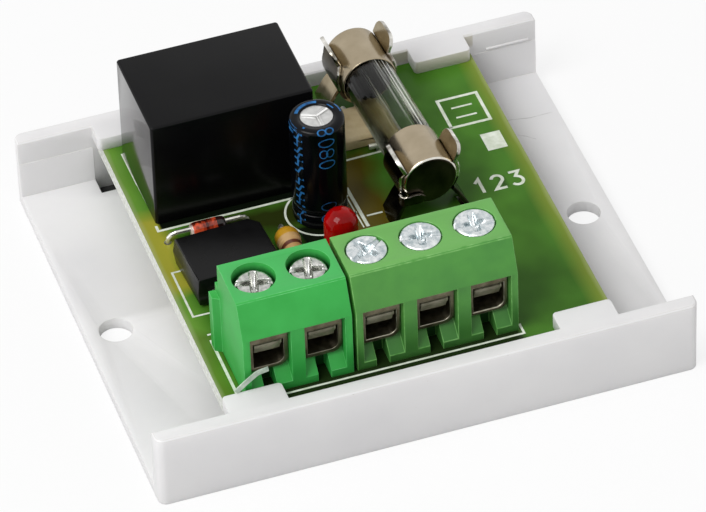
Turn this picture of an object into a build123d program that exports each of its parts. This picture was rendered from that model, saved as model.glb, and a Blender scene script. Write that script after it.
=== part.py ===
from build123d import *
import os
from math import cos, radians, sin, tan

os.makedirs("parts", exist_ok=True)

# Small relay module: a printed circuit board with a relay, a fuse and two screw terminal
# blocks, snapped into a white moulded tray. Millimetres, +Z up, X along the tray's two walls.
# The origin lies under the middle of the tray, on the face that rests on the wall or table.

# Tray
base_length = 50.4
base_width = 43.8
wall_height = 7.6
wall_thickness = 1.55
floor_thickness = 1.2
wall_step_z = 5.1
wall_step = 0.05
corner_radius = 0.8
top_edge = 0.15
hook_x = 15.35
hook_width = 5.5
hook_reach = 2.05
hook_radius = 0.4
ledge_x = 7.0
ledge_length = 6.0
ledge_reach = 1.6
mount_hole_d = 3.1
mount_hole_x = 22.42
lid_rib_x = 22.4
lid_rib_length = 4.2

# Board
board_clearance = 0.35
board_length = 36.1
board_x = 0.35
board_thickness = 1.55
board_top = 6.25
board_width = base_width - 2 * wall_thickness - 2 * board_clearance + 0.1
half_width = board_width / 2
board_bottom = board_top - board_thickness
lead_end = board_bottom - 1.5
hole_clearance = 0.12
solder_height = 1.0
solder_radius = 0.95
solder_shoulder = 0.35

# Relay
relay_x = -8.52
relay_y = 0.595 * half_width
relay_length = 15.45
relay_width = 10.45
relay_height = 11.35
relay_wall = 0.6
relay_stand_off = 0.05
relay_base_thickness = 1.2
relay_base_recess = 0.2
cover_corner = 0.2
yoke_thickness = 0.9
yoke_width = 6.0
coil_height = 4.5
bobbin_flange = 6.6
bobbin_flange_y = 7.0
bobbin_flange_t = 0.6
core_d = 2.4
pole_d = 3.6
pole_t = 0.35
barrel_d = 3.4
coil_d = 6.1
armature_gap = 0.3
armature_t = 0.7
blade_t = 0.15
contact_d = 1.2
contact_w = 1.0
contact_rest_gap = 0.05
strip_t = 0.3
armature_width = 5.8
armature_lift = 1.9
armature_over = 0.7
blade_width = 2.8
blade_lift = 0.3
strip_w = 1.8
closed_strip_height = 2.0
open_strip_height = 1.7
coil_pin_length = 1.2
coil_pin_set_in = 0.9
bobbin_length = 8.8
bobbin_foot = 1.2

# Terminal blocks
way_pitch = 5.0
block_from_edge = 2.08
block_depth = 6.97
block_height = 10.0
block_front_vertical = 6.75
block_top_set_back = 1.47
block_edge = 0.12
block_foot = 0.9
block_foot_height = 7.2
two_way_x = -10.77
three_way_x = 2.13
block_end_margin = 0.02
screw_from_front = 4.27
window_width = 3.74
window_height = 6.65
sill_height = 0.8
sill_notch = 1.2
notch_depth = 2.0
notch_shift = -0.15
front_wall = 0.75
cavity_depth = 5.89
cavity_height = 7.75
seat_two_way = 8.5
seat_three_way = 8.65
head_two_way_d = 3.72
head_three_way_d = 3.74
head_two_way_t = 0.95
head_three_way_t = 1.4
well_two_way_d = 3.95
well_three_way_d = 3.86
slot_width = 0.5
slot_depth = 0.6
cross_length = 2.7
cross_depth = 0.8
recess_turns = (-20, -18, 32, 1, -5)
thread_d = 2.5
thread_clearance = 0.04
cage_width = 3.6
cage_bottom = 2.25
cage_height = 3.8
cage_wall = 0.4
cage_top_t = 0.7
cage_corner = 0.9
cage_front_gap = 0.05
cage_back_gap = 0.07
bar_width = 2.6
bar_t = 0.5
bar_gap = 0.1
pin_width = 0.9
pin_t = 0.5
rail_reach = 0.62
rail_width = 0.95
rail_root = 1.35
rail_height = 6.3

# Electrolytic capacitor
cap_x = -1.75
cap_y = 0.16 * half_width
cap_d = 5.05
cap_height = 11.3
cap_stand_off = 0.05
sleeve_t = 0.13
can_wall = 0.25
vent_d = 3.0
lead_pitch_cap = 2.0

# Bridge rectifier
bridge_x = -12.15
bridge_y = -0.105 * half_width
bridge_turn = 3.0
bridge_length = 8.2
bridge_width = 6.5
bridge_height = 3.0
bridge_stand_off = 0.35
bridge_chamfer = 1.0
bridge_pin_pitch = 5.08
bridge_row = 7.62

# Glass diode
diode_x = -12.15
diode_y = 0.205 * half_width
diode_z = 7.16
diode_length = 3.3
diode_d = 1.75
diode_pitch = 7.62
diode_lead_d = 0.42
diode_bend = 0.8

# Resistor
resistor_x = -6.1
resistor_y = -0.142 * half_width
resistor_z = 7.5
resistor_length = 6.3
resistor_d = 2.3
resistor_waist_d = 1.9
resistor_pitch = 8.7
resistor_bend = 0.6

# Light emitting diode
led_x = -2.07
led_y = -0.1945 * half_width
led_d = 3.1
led_flange_d = 3.7
led_flange_t = 0.9
led_top = 12.45
led_height = 5.35
led_pitch = 2.54

# Flat dipped capacitor, bent over under the fuse
flat_x = 5.3
flat_from_fuse = 3.65
flat_length = 5.8
flat_width = 4.6
flat_t = 1.3
flat_stand_off = 0.12

# Fuse and its clips
fuse_x = 7.3
fuse_from_rear = 11.3
fuse_turn = 2.5
fuse_z = 10.8
fuse_length = 20.0
fuse_d = 5.2
fuse_cap_length = 5.0
fuse_cap_wall = 0.15
glass_bore = 3.9
fuse_wire_d = 0.2
clip_t = 0.4
clip_width = 4.55
clip_gap = 0.02
clip_stop = 0.35
clip_stop_gap = 0.08
clip_base_half = 1.1
clip_belly = 3.0
clip_pinch_x = 2.22
clip_pinch_z = 1.8
clip_lip_x = 2.85
clip_lip_z = 2.6
ear_width = 4.1
ear_radius = 0.95
leg_width = 2.8
leg_x = 3.4
leg_pin_width = 1.0

# Levels and positions that follow from the driving dimensions
inner_y = base_width / 2 - wall_thickness
fuse_y = half_width - fuse_from_rear
flat_y = fuse_y + flat_from_fuse
block_front = block_from_edge - half_width
block_back = block_front + block_depth
foot_back = block_back + block_foot
block_top_front = block_front + block_top_set_back
screw_y = block_front + screw_from_front
cavity_back = block_front + cavity_depth
lead_d = 0.5
relay_z = board_top + relay_stand_off
relay_base_z = relay_z + relay_base_recess
relay_floor = relay_base_z + relay_base_thickness
relay_inner_length = relay_length - 2 * relay_wall
relay_inner_width = relay_width - 2 * relay_wall
relay_left = relay_x - relay_inner_length / 2
relay_axis = relay_floor + coil_height
yoke_left = relay_left + 0.5
yoke_top = relay_floor + coil_height + bobbin_flange / 2 + 0.2
flange_left = yoke_left + yoke_thickness
flange_right = flange_left + bobbin_length
pole_face = flange_right + pole_t
armature_left = pole_face + armature_gap
blade_left = armature_left + armature_t
contact_z = relay_floor + contact_w
blade_button_right = blade_left + blade_t + 0.3
nc_button_t = 0.35
nc_left = blade_button_right + contact_rest_gap
nc_strip = nc_left + nc_button_t
blade_button_left = blade_left - 0.3
contact_travel = 0.33
no_button_right = blade_button_left - contact_travel - 0.02
no_button_t = 0.35
no_strip = no_button_right - no_button_t - strip_t
relay_pin_w = 0.8

two_way_length = 2 * way_pitch + 2 * block_end_margin
three_way_length = 3 * way_pitch + 2 * block_end_margin
screw_xs = [two_way_x + way_pitch * (i - 0.5) for i in range(2)]
screw_xs += [three_way_x + way_pitch * (i - 1) for i in range(3)]
cage_z = board_top + cage_bottom
sill_z = board_top + sill_height
cavity_floor = cage_z - 0.1
cage_front = block_front + front_wall + cage_front_gap
cage_back = cavity_back - cage_back_gap
bar_top = cage_z + cage_height - cage_top_t - bar_gap
term_pin_y = cavity_back + 0.05 + pin_t / 2

cap_z = board_top + cap_stand_off
bridge_z = board_top + bridge_stand_off
led_bottom = led_top - led_height
flat_z = board_top + flat_stand_off
clip_front_y = fuse_y - fuse_length / 2 - clip_stop_gap
clip_rear_y = fuse_y + fuse_length / 2 + clip_stop_gap
turn_y = clip_front_y + clip_width / 2


def askew(x, y, centre_x, centre_y, turn):
    """The point (x, y) turned about a centre, for the pieces that were soldered in askew."""
    dx, dy = x - centre_x, y - centre_y
    c, s = cos(radians(turn)), sin(radians(turn))
    return centre_x + c * dx - s * dy, centre_y + s * dx + c * dy


# Every lead and pin that goes through the board: x, y, size along x, size along y and turn.
# A round lead has 0 as its second size.
leads = []
for sx in screw_xs:
    leads.append((sx, term_pin_y, pin_width, pin_t, 0))
coil_pin_x = flange_left + bobbin_flange_t / 2
coil_pin_y = bobbin_flange_y / 2 - 0.5
com_pin_y = 0.0
com_pin_x = yoke_left + yoke_thickness / 2
leads.append((coil_pin_x + coil_pin_set_in, relay_y + coil_pin_y, 0.5, 0.5, 0))
leads.append((coil_pin_x + coil_pin_set_in, relay_y - coil_pin_y, 0.5, 0.5, 0))
leads.append((com_pin_x, relay_y, 0.5, relay_pin_w, 0))
leads.append((nc_strip + strip_t / 2, relay_y, strip_t, relay_pin_w, 0))
leads.append((no_strip + strip_t / 2, relay_y, strip_t, relay_pin_w, 0))
for px in (-1, 1):
    for py in (-1, 1):
        foot_x = bridge_x + px * bridge_pin_pitch / 2
        foot_y = bridge_y + py * bridge_row / 2
        foot_x, foot_y = askew(foot_x, foot_y, bridge_x, bridge_y, bridge_turn)
        leads.append((foot_x, foot_y, 0.5, 0.3, bridge_turn))
for px in (-1, 1):
    leads.append((cap_x + px * lead_pitch_cap / 2, cap_y, lead_d, 0, 0))
    leads.append((diode_x + px * diode_pitch / 2, diode_y, diode_lead_d, 0, 0))
    leads.append((resistor_x, resistor_y + px * resistor_pitch / 2, lead_d, 0, 0))
    leads.append((led_x + px * led_pitch / 2, led_y, lead_d, 0, 0))
flat_lead_x = flat_x + 0.8
flat_lead_y = flat_width / 2 + 0.7
leads.append((flat_lead_x, flat_y - flat_lead_y, lead_d, 0, 0))
leads.append((flat_lead_x - 1.6, flat_y + flat_lead_y, lead_d, 0, 0))
leg_front_y = clip_front_y + leg_width / 2
leg_rear_y = clip_rear_y - leg_width / 2
for px in (-1, 1):
    for leg_y in (leg_front_y, leg_rear_y):
        foot_x, foot_y = askew(fuse_x + px * leg_x, leg_y, fuse_x, turn_y, fuse_turn)
        leads.append((foot_x, foot_y, clip_t, leg_pin_width, fuse_turn))


# Tray: a channel with two walls and open ends. The walls are a little thicker below the step
# that the lid's edge comes down to.
with BuildPart() as base_tray:
    with BuildSketch(Plane.YZ):
        with BuildLine():
            Polyline(
                (-base_width / 2, 0),
                (base_width / 2, 0),
                (base_width / 2, wall_height),
                (inner_y, wall_height),
                (inner_y, wall_step_z),
                (inner_y - wall_step, wall_step_z),
                (inner_y - wall_step, floor_thickness),
                (-inner_y + wall_step, floor_thickness),
                (-inner_y + wall_step, wall_step_z),
                (-inner_y, wall_step_z),
                (-inner_y, wall_height),
                (-base_width / 2, wall_height),
                close=True,
            )
        make_face()
    extrude(amount=base_length / 2, both=True)
    outer_corners = base_tray.edges().filter_by(Axis.Z).filter_by(
        lambda e: abs(abs(e.center().Y) - base_width / 2) < 0.01
    )
    fillet(outer_corners, radius=corner_radius)
    wall_tops = base_tray.edges().filter_by(Axis.X).filter_by(
        lambda e: abs(e.center().Z - wall_height) < 0.01
    )
    chamfer(wall_tops, length=top_edge)
    # Four snap hooks, flush with the top of the walls. Each has a slot under it in the
    # floor, where the mould's core made the hook's underside.
    for side in (-1, 1):
        with BuildSketch(Plane.XY.offset(board_top)) as hook_plan:
            with Locations(
                (-hook_x, side * (inner_y - hook_reach / 2 + 0.3)),
                (hook_x, side * (inner_y - hook_reach / 2 + 0.3)),
            ):
                Rectangle(hook_width, hook_reach + 0.6)
            fillet(hook_plan.vertices(), radius=hook_radius)
        extrude(amount=wall_height - board_top)
    with Locations(
        (-hook_x, inner_y - hook_reach / 2, 0),
        (hook_x, inner_y - hook_reach / 2, 0),
        (-hook_x, -inner_y + hook_reach / 2, 0),
        (hook_x, -inner_y + hook_reach / 2, 0),
    ):
        Box(
            hook_width,
            hook_reach,
            board_top,
            align=(Align.CENTER, Align.CENTER, Align.MIN),
            mode=Mode.SUBTRACT,
        )
    # Ledges that carry the board beside the hooks
    with Locations(
        (-ledge_x, inner_y - ledge_reach / 2, floor_thickness / 2),
        (ledge_x, inner_y - ledge_reach / 2, floor_thickness / 2),
        (-ledge_x, -inner_y + ledge_reach / 2, floor_thickness / 2),
        (ledge_x, -inner_y + ledge_reach / 2, floor_thickness / 2),
    ):
        Box(
            ledge_length,
            ledge_reach,
            board_bottom - floor_thickness / 2,
            align=(Align.CENTER, Align.CENTER, Align.MIN),
        )
    # Low rib for the lid on the rear wall
    with Locations((lid_rib_x, inner_y, wall_step_z + 0.3)):
        Cylinder(0.13, lid_rib_length, rotation=(0, 90, 0))
    # Screw holes through the floor, on the middle line
    with Locations((-mount_hole_x, 0, floor_thickness), (mount_hole_x, 0, floor_thickness)):
        Hole(radius=mount_hole_d / 2, depth=2 * floor_thickness)
base_tray.part.label = "base_tray"
export_step(base_tray.part, "parts/base_tray.step")


# Board, with a hole for every lead and pin
with BuildPart() as circuit_board:
    with BuildSketch(Plane.XY.offset(board_bottom)):
        with Locations((board_x, 0)):
            Rectangle(board_length, board_width)
        for lx, ly, sx, sy, turn in leads:
            with Locations((lx, ly)):
                if sy == 0:
                    RegularPolygon(sx / 2 + hole_clearance, 8, major_radius=False, mode=Mode.SUBTRACT)
                else:
                    Rectangle(
                        sx + 2 * hole_clearance,
                        sy + 2 * hole_clearance,
                        rotation=turn,
                        mode=Mode.SUBTRACT,
                    )
    extrude(amount=board_thickness)
circuit_board.part.label = "circuit_board"
export_step(circuit_board.part, "parts/circuit_board.step")

# Solder joints: a blunt cone of solder round each lead under the board, drawn with six sides
# because there are so many. The round leads have eight sides, for the same reason.
with BuildPart() as solder_joints:
    for lx, ly, sx, sy, turn in leads:
        with BuildSketch(Plane.XY.offset(board_bottom)):
            with Locations((lx, ly)):
                RegularPolygon(solder_radius, 6)
        extrude(amount=-solder_height)
    tips = solder_joints.faces().group_by(Axis.Z)[0]
    chamfer(tips.edges(), length=solder_shoulder)
    for lx, ly, sx, sy, turn in leads:
        with BuildSketch(Plane.XY.offset(board_bottom)):
            with Locations((lx, ly)):
                if sy == 0:
                    RegularPolygon(sx / 2, 8, major_radius=False)
                else:
                    Rectangle(sx, sy, rotation=turn)
        extrude(amount=-solder_height, mode=Mode.SUBTRACT)
solder_joints.part.label = "solder_joints"
export_step(solder_joints.part, "parts/solder_joints.step")


# Relay: moulded cover, open at the bottom, drawn in slightly towards the top
with BuildPart() as relay_cover:
    with BuildSketch(Plane.XY.offset(relay_z)) as cover_plan:
        with Locations((relay_x, relay_y)):
            Rectangle(relay_length, relay_width)
        chamfer(cover_plan.vertices(), length=cover_corner)
    extrude(amount=relay_height, taper=0.25)
    chamfer(relay_cover.faces().sort_by(Axis.Z)[-1].edges(), length=0.15)
    with BuildSketch(Plane.XY.offset(relay_z)):
        with Locations((relay_x, relay_y)):
            Rectangle(relay_inner_length, relay_inner_width)
    extrude(amount=relay_height - relay_wall, mode=Mode.SUBTRACT)
relay_cover.part.label = "relay_cover"
export_step(relay_cover.part, "parts/relay_cover.step")

# Base plate that closes the cover, with slots for the pins
with BuildPart() as relay_base:
    with BuildSketch(Plane.XY.offset(relay_base_z)):
        with Locations((relay_x, relay_y)):
            Rectangle(relay_inner_length, relay_inner_width)
        for lx, ly, sx, sy, turn in leads[5:10]:
            with Locations((lx, ly)):
                Rectangle(sx, sy, mode=Mode.SUBTRACT)
    extrude(amount=relay_base_thickness)
relay_base.part.label = "relay_base"
export_step(relay_base.part, "parts/relay_base.step")

# L-shaped iron yoke: one leg behind the coil, one above it, and the common contact's pin
with BuildPart() as relay_yoke:
    with BuildSketch(Plane.XZ.offset(-relay_y)):
        with BuildLine():
            Polyline(
                (yoke_left, relay_floor),
                (yoke_left + yoke_thickness, relay_floor),
                (yoke_left + yoke_thickness, yoke_top),
                (armature_left - 0.1, yoke_top),
                (armature_left - 0.1, yoke_top + yoke_thickness),
                (yoke_left, yoke_top + yoke_thickness),
                close=True,
            )
        make_face()
    extrude(amount=yoke_width / 2, both=True)
    with Locations((com_pin_x, relay_y, lead_end)):
        Box(
            0.5,
            relay_pin_w,
            relay_floor - lead_end + 0.2,
            align=(Align.CENTER, Align.CENTER, Align.MIN),
        )
    with Locations(Plane.YZ.offset(yoke_left)):
        with Locations((relay_y, relay_axis)):
            Cylinder(
                core_d / 2,
                yoke_thickness,
                align=(Align.CENTER, Align.CENTER, Align.MIN),
                mode=Mode.SUBTRACT,
            )
relay_yoke.part.label = "relay_yoke"
export_step(relay_yoke.part, "parts/relay_yoke.step")

# Iron core with its pole face
with BuildPart() as relay_core:
    with BuildSketch(Plane.YZ.offset(yoke_left)):
        with Locations((relay_y, relay_axis)):
            Circle(core_d / 2)
    extrude(amount=pole_face - yoke_left)
    with BuildSketch(Plane.YZ.offset(flange_right)):
        with Locations((relay_y, relay_axis)):
            Circle(pole_d / 2)
    extrude(amount=pole_t)
relay_core.part.label = "relay_core"
export_step(relay_core.part, "parts/relay_core.step")

# Plastic bobbin: a barrel between two square flanges, standing on the base
with BuildPart() as relay_bobbin:
    for start in (flange_left, flange_right - bobbin_flange_t):
        with BuildSketch(Plane.YZ.offset(start)):
            with Locations((relay_y, relay_axis)):
                Rectangle(bobbin_flange_y, bobbin_flange)
        extrude(amount=bobbin_flange_t)
    with BuildSketch(Plane.YZ.offset(flange_left)):
        with Locations((relay_y, relay_axis)):
            Circle(barrel_d / 2)
    extrude(amount=flange_right - flange_left)
    with Locations(
        (flange_left + bobbin_foot / 2 + 0.3, relay_y, relay_floor),
        (flange_right - bobbin_foot / 2 - 0.5, relay_y, relay_floor),
    ):
        Box(
            bobbin_foot,
            bobbin_flange_y,
            coil_height - bobbin_flange / 2 + 0.12,
            align=(Align.CENTER, Align.CENTER, Align.MIN),
        )
    with BuildSketch(Plane.YZ.offset(flange_left)):
        with Locations((relay_y, relay_axis)):
            Circle(core_d / 2)
    extrude(amount=flange_right - flange_left, mode=Mode.SUBTRACT)
    with Locations(
        (coil_pin_x + coil_pin_set_in, relay_y - coil_pin_y, relay_floor),
        (coil_pin_x + coil_pin_set_in, relay_y + coil_pin_y, relay_floor),
    ):
        Box(0.5, 0.5, 2 * coil_pin_length, mode=Mode.SUBTRACT)
relay_bobbin.part.label = "relay_bobbin"
export_step(relay_bobbin.part, "parts/relay_bobbin.step")

# Copper winding
with BuildPart() as relay_coil:
    with BuildSketch(Plane.YZ.offset(flange_left + bobbin_flange_t)):
        with Locations((relay_y, relay_axis)):
            Circle(coil_d / 2)
            Circle(barrel_d / 2, mode=Mode.SUBTRACT)
    extrude(amount=flange_right - flange_left - 2 * bobbin_flange_t)
relay_coil.part.label = "relay_coil"
export_step(relay_coil.part, "parts/relay_coil.step")

# The two pins of the winding
with BuildPart() as relay_coil_pins:
    with Locations(
        (coil_pin_x + coil_pin_set_in, relay_y - coil_pin_y, lead_end),
        (coil_pin_x + coil_pin_set_in, relay_y + coil_pin_y, lead_end),
    ):
        Box(
            0.5,
            0.5,
            relay_floor + coil_pin_length - lead_end,
            align=(Align.CENTER, Align.CENTER, Align.MIN),
        )
relay_coil_pins.part.label = "relay_coil_pins"
export_step(relay_coil_pins.part, "parts/relay_coil_pins.step")

# Armature: the iron plate that the pole pulls in, pivoting under the yoke's end
with BuildPart() as relay_armature:
    with BuildSketch(Plane.YZ.offset(armature_left)):
        with Locations((relay_y, relay_floor + armature_lift)):
            Rectangle(
                armature_width,
                yoke_top + armature_over - relay_floor - armature_lift,
                align=(Align.CENTER, Align.MIN),
            )
    extrude(amount=armature_t)
relay_armature.part.label = "relay_armature"
export_step(relay_armature.part, "parts/relay_armature.step")

# Contact blade riveted to the armature, with its contact button
with BuildPart() as relay_contact_blade:
    with BuildSketch(Plane.YZ.offset(blade_left)):
        with Locations((relay_y, relay_floor + blade_lift)):
            Rectangle(
                blade_width,
                yoke_top + 0.4 - relay_floor - blade_lift,
                align=(Align.CENTER, Align.MIN),
            )
    extrude(amount=blade_t)
    with BuildSketch(Plane.YZ.offset(blade_button_left)):
        with Locations((relay_y, contact_z)):
            Circle(contact_d / 2)
    extrude(amount=blade_button_right - blade_button_left)
relay_contact_blade.part.label = "relay_contact_blade"
export_step(relay_contact_blade.part, "parts/relay_contact_blade.step")

# Normally closed contact: strip with its button and pin
with BuildPart() as relay_contact_closed:
    with BuildSketch(Plane.YZ.offset(nc_strip)):
        with Locations((relay_y, relay_floor + closed_strip_height / 2)):
            Rectangle(strip_w, closed_strip_height)
        with Locations((relay_y, (lead_end + relay_floor) / 2)):
            Rectangle(relay_pin_w, relay_floor - lead_end)
    extrude(amount=strip_t)
    with BuildSketch(Plane.YZ.offset(nc_left)):
        with Locations((relay_y, contact_z)):
            Circle(contact_d / 2)
    extrude(amount=nc_button_t)
relay_contact_closed.part.label = "relay_contact_closed"
export_step(relay_contact_closed.part, "parts/relay_contact_closed.step")

# Normally open contact
with BuildPart() as relay_contact_open:
    with BuildSketch(Plane.YZ.offset(no_strip)):
        with Locations((relay_y, relay_floor + open_strip_height / 2)):
            Rectangle(strip_w, open_strip_height)
        with Locations((relay_y, (lead_end + relay_floor) / 2)):
            Rectangle(relay_pin_w, relay_floor - lead_end)
    extrude(amount=strip_t)
    with BuildSketch(Plane.YZ.offset(no_strip + strip_t)):
        with Locations((relay_y, contact_z)):
            Circle(contact_d / 2)
    extrude(amount=no_button_t)
relay_contact_open.part.label = "relay_contact_open"
export_step(relay_contact_open.part, "parts/relay_contact_open.step")


# Terminal blocks. Both housings have the same section: an upright front with the wire
# windows, a face that leans back above them, a flat top with one screw well for each way and
# a lower foot at the back.
blocks = (
    ("terminal_2way_housing", two_way_x, two_way_length, screw_xs[:2], seat_two_way, well_two_way_d),
    (
        "terminal_3way_housing",
        three_way_x,
        three_way_length,
        screw_xs[2:],
        seat_three_way,
        well_three_way_d,
    ),
)
for name, centre, length, xs, seat, well_d in blocks:
    left = centre - length / 2
    right = centre + length / 2
    with BuildPart() as housing:
        with BuildSketch(Plane.YZ.offset(left)):
            with BuildLine():
                Polyline(
                    (block_front, board_top),
                    (foot_back, board_top),
                    (foot_back, board_top + block_foot_height),
                    (block_back, board_top + block_foot_height),
                    (block_back, board_top + block_height),
                    (block_top_front, board_top + block_height),
                    (block_front, board_top + block_front_vertical),
                    close=True,
                )
            make_face()
        extrude(amount=length)
        top_edges = housing.edges().filter_by(Axis.X).filter_by(
            lambda e: abs(e.center().Z - board_top - block_height) < 0.01
        )
        chamfer(top_edges, length=block_edge)
        if name == "terminal_2way_housing":
            # Rail on the left side, flush with the foot's back, where a further block hooks on
            with BuildSketch(Plane.XY.offset(board_top)):
                with BuildLine():
                    Polyline(
                        (left + 0.1, foot_back),
                        (left - rail_reach, foot_back),
                        (left - rail_reach, foot_back - rail_width),
                        (left, foot_back - rail_root),
                        (left + 0.1, foot_back - rail_root),
                        close=True,
                    )
                make_face()
            extrude(amount=rail_height)
        # The window of each way and the space behind it that the clamp cage rises in. The
        # sill slopes up from the front to the cavity's floor, and leads a wire into the cage.
        for x in xs:
            with BuildSketch(Plane.YZ.offset(x)):
                with BuildLine():
                    Polyline(
                        (block_front - 0.5, sill_z - 0.5),
                        (block_front + cavity_floor - sill_z, cavity_floor),
                        (cavity_back, cavity_floor),
                        (cavity_back, board_top + cavity_height),
                        (block_front + front_wall, board_top + cavity_height),
                        (block_front + front_wall, board_top + window_height),
                        (block_front - 0.5, board_top + window_height),
                        close=True,
                    )
                make_face()
            extrude(amount=window_width / 2, both=True, mode=Mode.SUBTRACT)
        # Notch through the middle of each sill
        with Locations([(x + notch_shift, block_front - 0.5, board_top - 0.5) for x in xs]):
            Box(
                sill_notch,
                notch_depth + 0.5,
                cavity_floor - board_top + 1.0,
                align=(Align.CENTER, Align.MIN, Align.MIN),
                mode=Mode.SUBTRACT,
            )
        # Slot for the terminal plate's leg, open at the bottom
        with Locations([(x, cavity_back - 0.3, board_top - 0.5) for x in xs]):
            Box(
                bar_width + 0.1,
                pin_t + 0.4,
                bar_top - board_top + 0.55,
                align=(Align.CENTER, Align.MIN, Align.MIN),
                mode=Mode.SUBTRACT,
            )
        # Screw well, and the narrower bore between it and the cage
        with Locations([(x, screw_y, board_top + seat) for x in xs]):
            Cylinder(
                well_d / 2,
                block_height,
                align=(Align.CENTER, Align.CENTER, Align.MIN),
                mode=Mode.SUBTRACT,
            )
        with Locations([(x, screw_y, cavity_floor + 1.0) for x in xs]):
            Cylinder(
                thread_d / 2 + 0.15,
                block_height,
                align=(Align.CENTER, Align.CENTER, Align.MIN),
                mode=Mode.SUBTRACT,
            )
    housing.part.label = name
    export_step(housing.part, f"parts/{name}.step")


# Fixed terminal plates: a flat bar through each cage that bends down into the board
plate_groups = (
    ("terminal_2way_plates", screw_xs[:2]),
    ("terminal_3way_plates", screw_xs[2:]),
)
for name, xs in plate_groups:
    with BuildPart() as plates:
        for x in xs:
            with BuildSketch(Plane.YZ.offset(x)):
                with BuildLine():
                    Polyline(
                        (cage_front + 0.03, bar_top),
                        (term_pin_y + pin_t / 2, bar_top),
                        (term_pin_y + pin_t / 2, board_top + 1.0),
                        (term_pin_y - pin_t / 2, board_top + 1.0),
                        (term_pin_y - pin_t / 2, bar_top - bar_t),
                        (cage_front + 0.03, bar_top - bar_t),
                        close=True,
                    )
                make_face()
            extrude(amount=bar_width / 2, both=True)
            with Locations((x, term_pin_y, lead_end)):
                Box(
                    pin_width,
                    pin_t,
                    board_top + 1.0 - lead_end,
                    align=(Align.CENTER, Align.CENTER, Align.MIN),
                )
    plates.part.label = name
    export_step(plates.part, f"parts/{name}.step")

# Clamp cages and clamp screws, one of each for every way. The cage is a folded steel strip
# whose top is tapped; turning its screw clockwise draws it up and grips the wire.
for index, x in enumerate(screw_xs):
    with BuildPart() as clamp_cage:
        with BuildSketch(Plane.XZ.offset(-cage_front)) as frame_section:
            with Locations((x, cage_z + cage_height / 2)):
                Rectangle(cage_width, cage_height)
            low_right = frame_section.vertices().sort_by(Axis.X)[-2:].sort_by(Axis.Y)[0]
            fillet(low_right, radius=cage_corner)
        extrude(amount=-(cage_back - cage_front))
        with BuildSketch(Plane.XZ.offset(-cage_front)) as opening:
            with Locations((x, cage_z + cage_wall)):
                Rectangle(
                    cage_width - 2 * cage_wall,
                    cage_height - cage_wall - cage_top_t,
                    align=(Align.CENTER, Align.MIN),
                )
            inner_right = opening.vertices().sort_by(Axis.X)[-2:].sort_by(Axis.Y)[0]
            fillet(inner_right, radius=cage_corner - cage_wall / 2)
        extrude(amount=-(cage_back - cage_front), mode=Mode.SUBTRACT)
        with Locations((x, screw_y, cage_z + cage_height)):
            Cylinder(thread_d / 2 + thread_clearance, 2 * cage_top_t, mode=Mode.SUBTRACT)
    clamp_cage.part.label = f"clamp_cage_{index + 1}"
    export_step(clamp_cage.part, f"parts/clamp_cage_{index + 1}.step")

    small = index < 2
    seat = seat_two_way if small else seat_three_way
    head_d = head_two_way_d if small else head_three_way_d
    head_t = head_two_way_t if small else head_three_way_t
    head_top = board_top + seat + head_t
    with BuildPart() as clamp_screw:
        with BuildSketch(Plane.XZ.offset(-screw_y)):
            with BuildLine():
                Polyline(
                    (x, bar_top + 0.05),
                    (x + thread_d / 2, bar_top + 0.05),
                    (x + thread_d / 2, board_top + seat),
                    (x + head_d / 2, board_top + seat),
                    (x + head_d / 2, head_top - 0.2),
                    (x + head_d / 2 - 0.2, head_top),
                    (x, head_top),
                    close=True,
                )
            make_face()
        revolve(axis=Axis((x, screw_y, 0), (0, 0, 1)))
        # Slot right across the head, and the shorter and deeper cross slot
        turn = recess_turns[index]
        with Locations((x, screw_y, head_top)):
            Box(head_d + 1, slot_width, 2 * slot_depth, rotation=(0, 0, turn), mode=Mode.SUBTRACT)
            Box(slot_width, cross_length, 2 * cross_depth, rotation=(0, 0, turn), mode=Mode.SUBTRACT)
    clamp_screw.part.label = f"clamp_screw_{index + 1}"
    export_step(clamp_screw.part, f"parts/clamp_screw_{index + 1}.step")


# Electrolytic capacitor
cap_r = cap_d / 2
can_r = cap_r - sleeve_t
cap_top = cap_z + cap_height
groove_z = cap_z + 1.7

# Aluminium can: a cup turned upside down, crimped in near the bottom
with BuildPart() as capacitor_can:
    with BuildSketch(Plane.XZ.offset(-cap_y)):
        with BuildLine():
            Polyline(
                (cap_x, cap_top),
                (cap_x + can_r - 0.45, cap_top),
                (cap_x + can_r, cap_top - 0.45),
                (cap_x + can_r, groove_z + 0.35),
                (cap_x + can_r - 0.25, groove_z),
                (cap_x + can_r, groove_z - 0.35),
                (cap_x + can_r, cap_z + 0.15),
                (cap_x + can_r - 0.25 - can_wall, cap_z + 0.15),
                (cap_x + can_r - 0.25 - can_wall, cap_top - can_wall),
                (cap_x, cap_top - can_wall),
                close=True,
            )
        make_face()
    revolve(axis=Axis((cap_x, cap_y, 0), (0, 0, 1)))
    # Three score lines of the safety vent
    with BuildSketch(Plane.XY.offset(cap_top)):
        with Locations((cap_x, cap_y)):
            with PolarLocations(vent_d / 4, 3, start_angle=31):
                Rectangle(vent_d / 2, 0.22)
    extrude(amount=-0.08, mode=Mode.SUBTRACT)
capacitor_can.part.label = "capacitor_can"
export_step(capacitor_can.part, "parts/capacitor_can.step")

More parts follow.
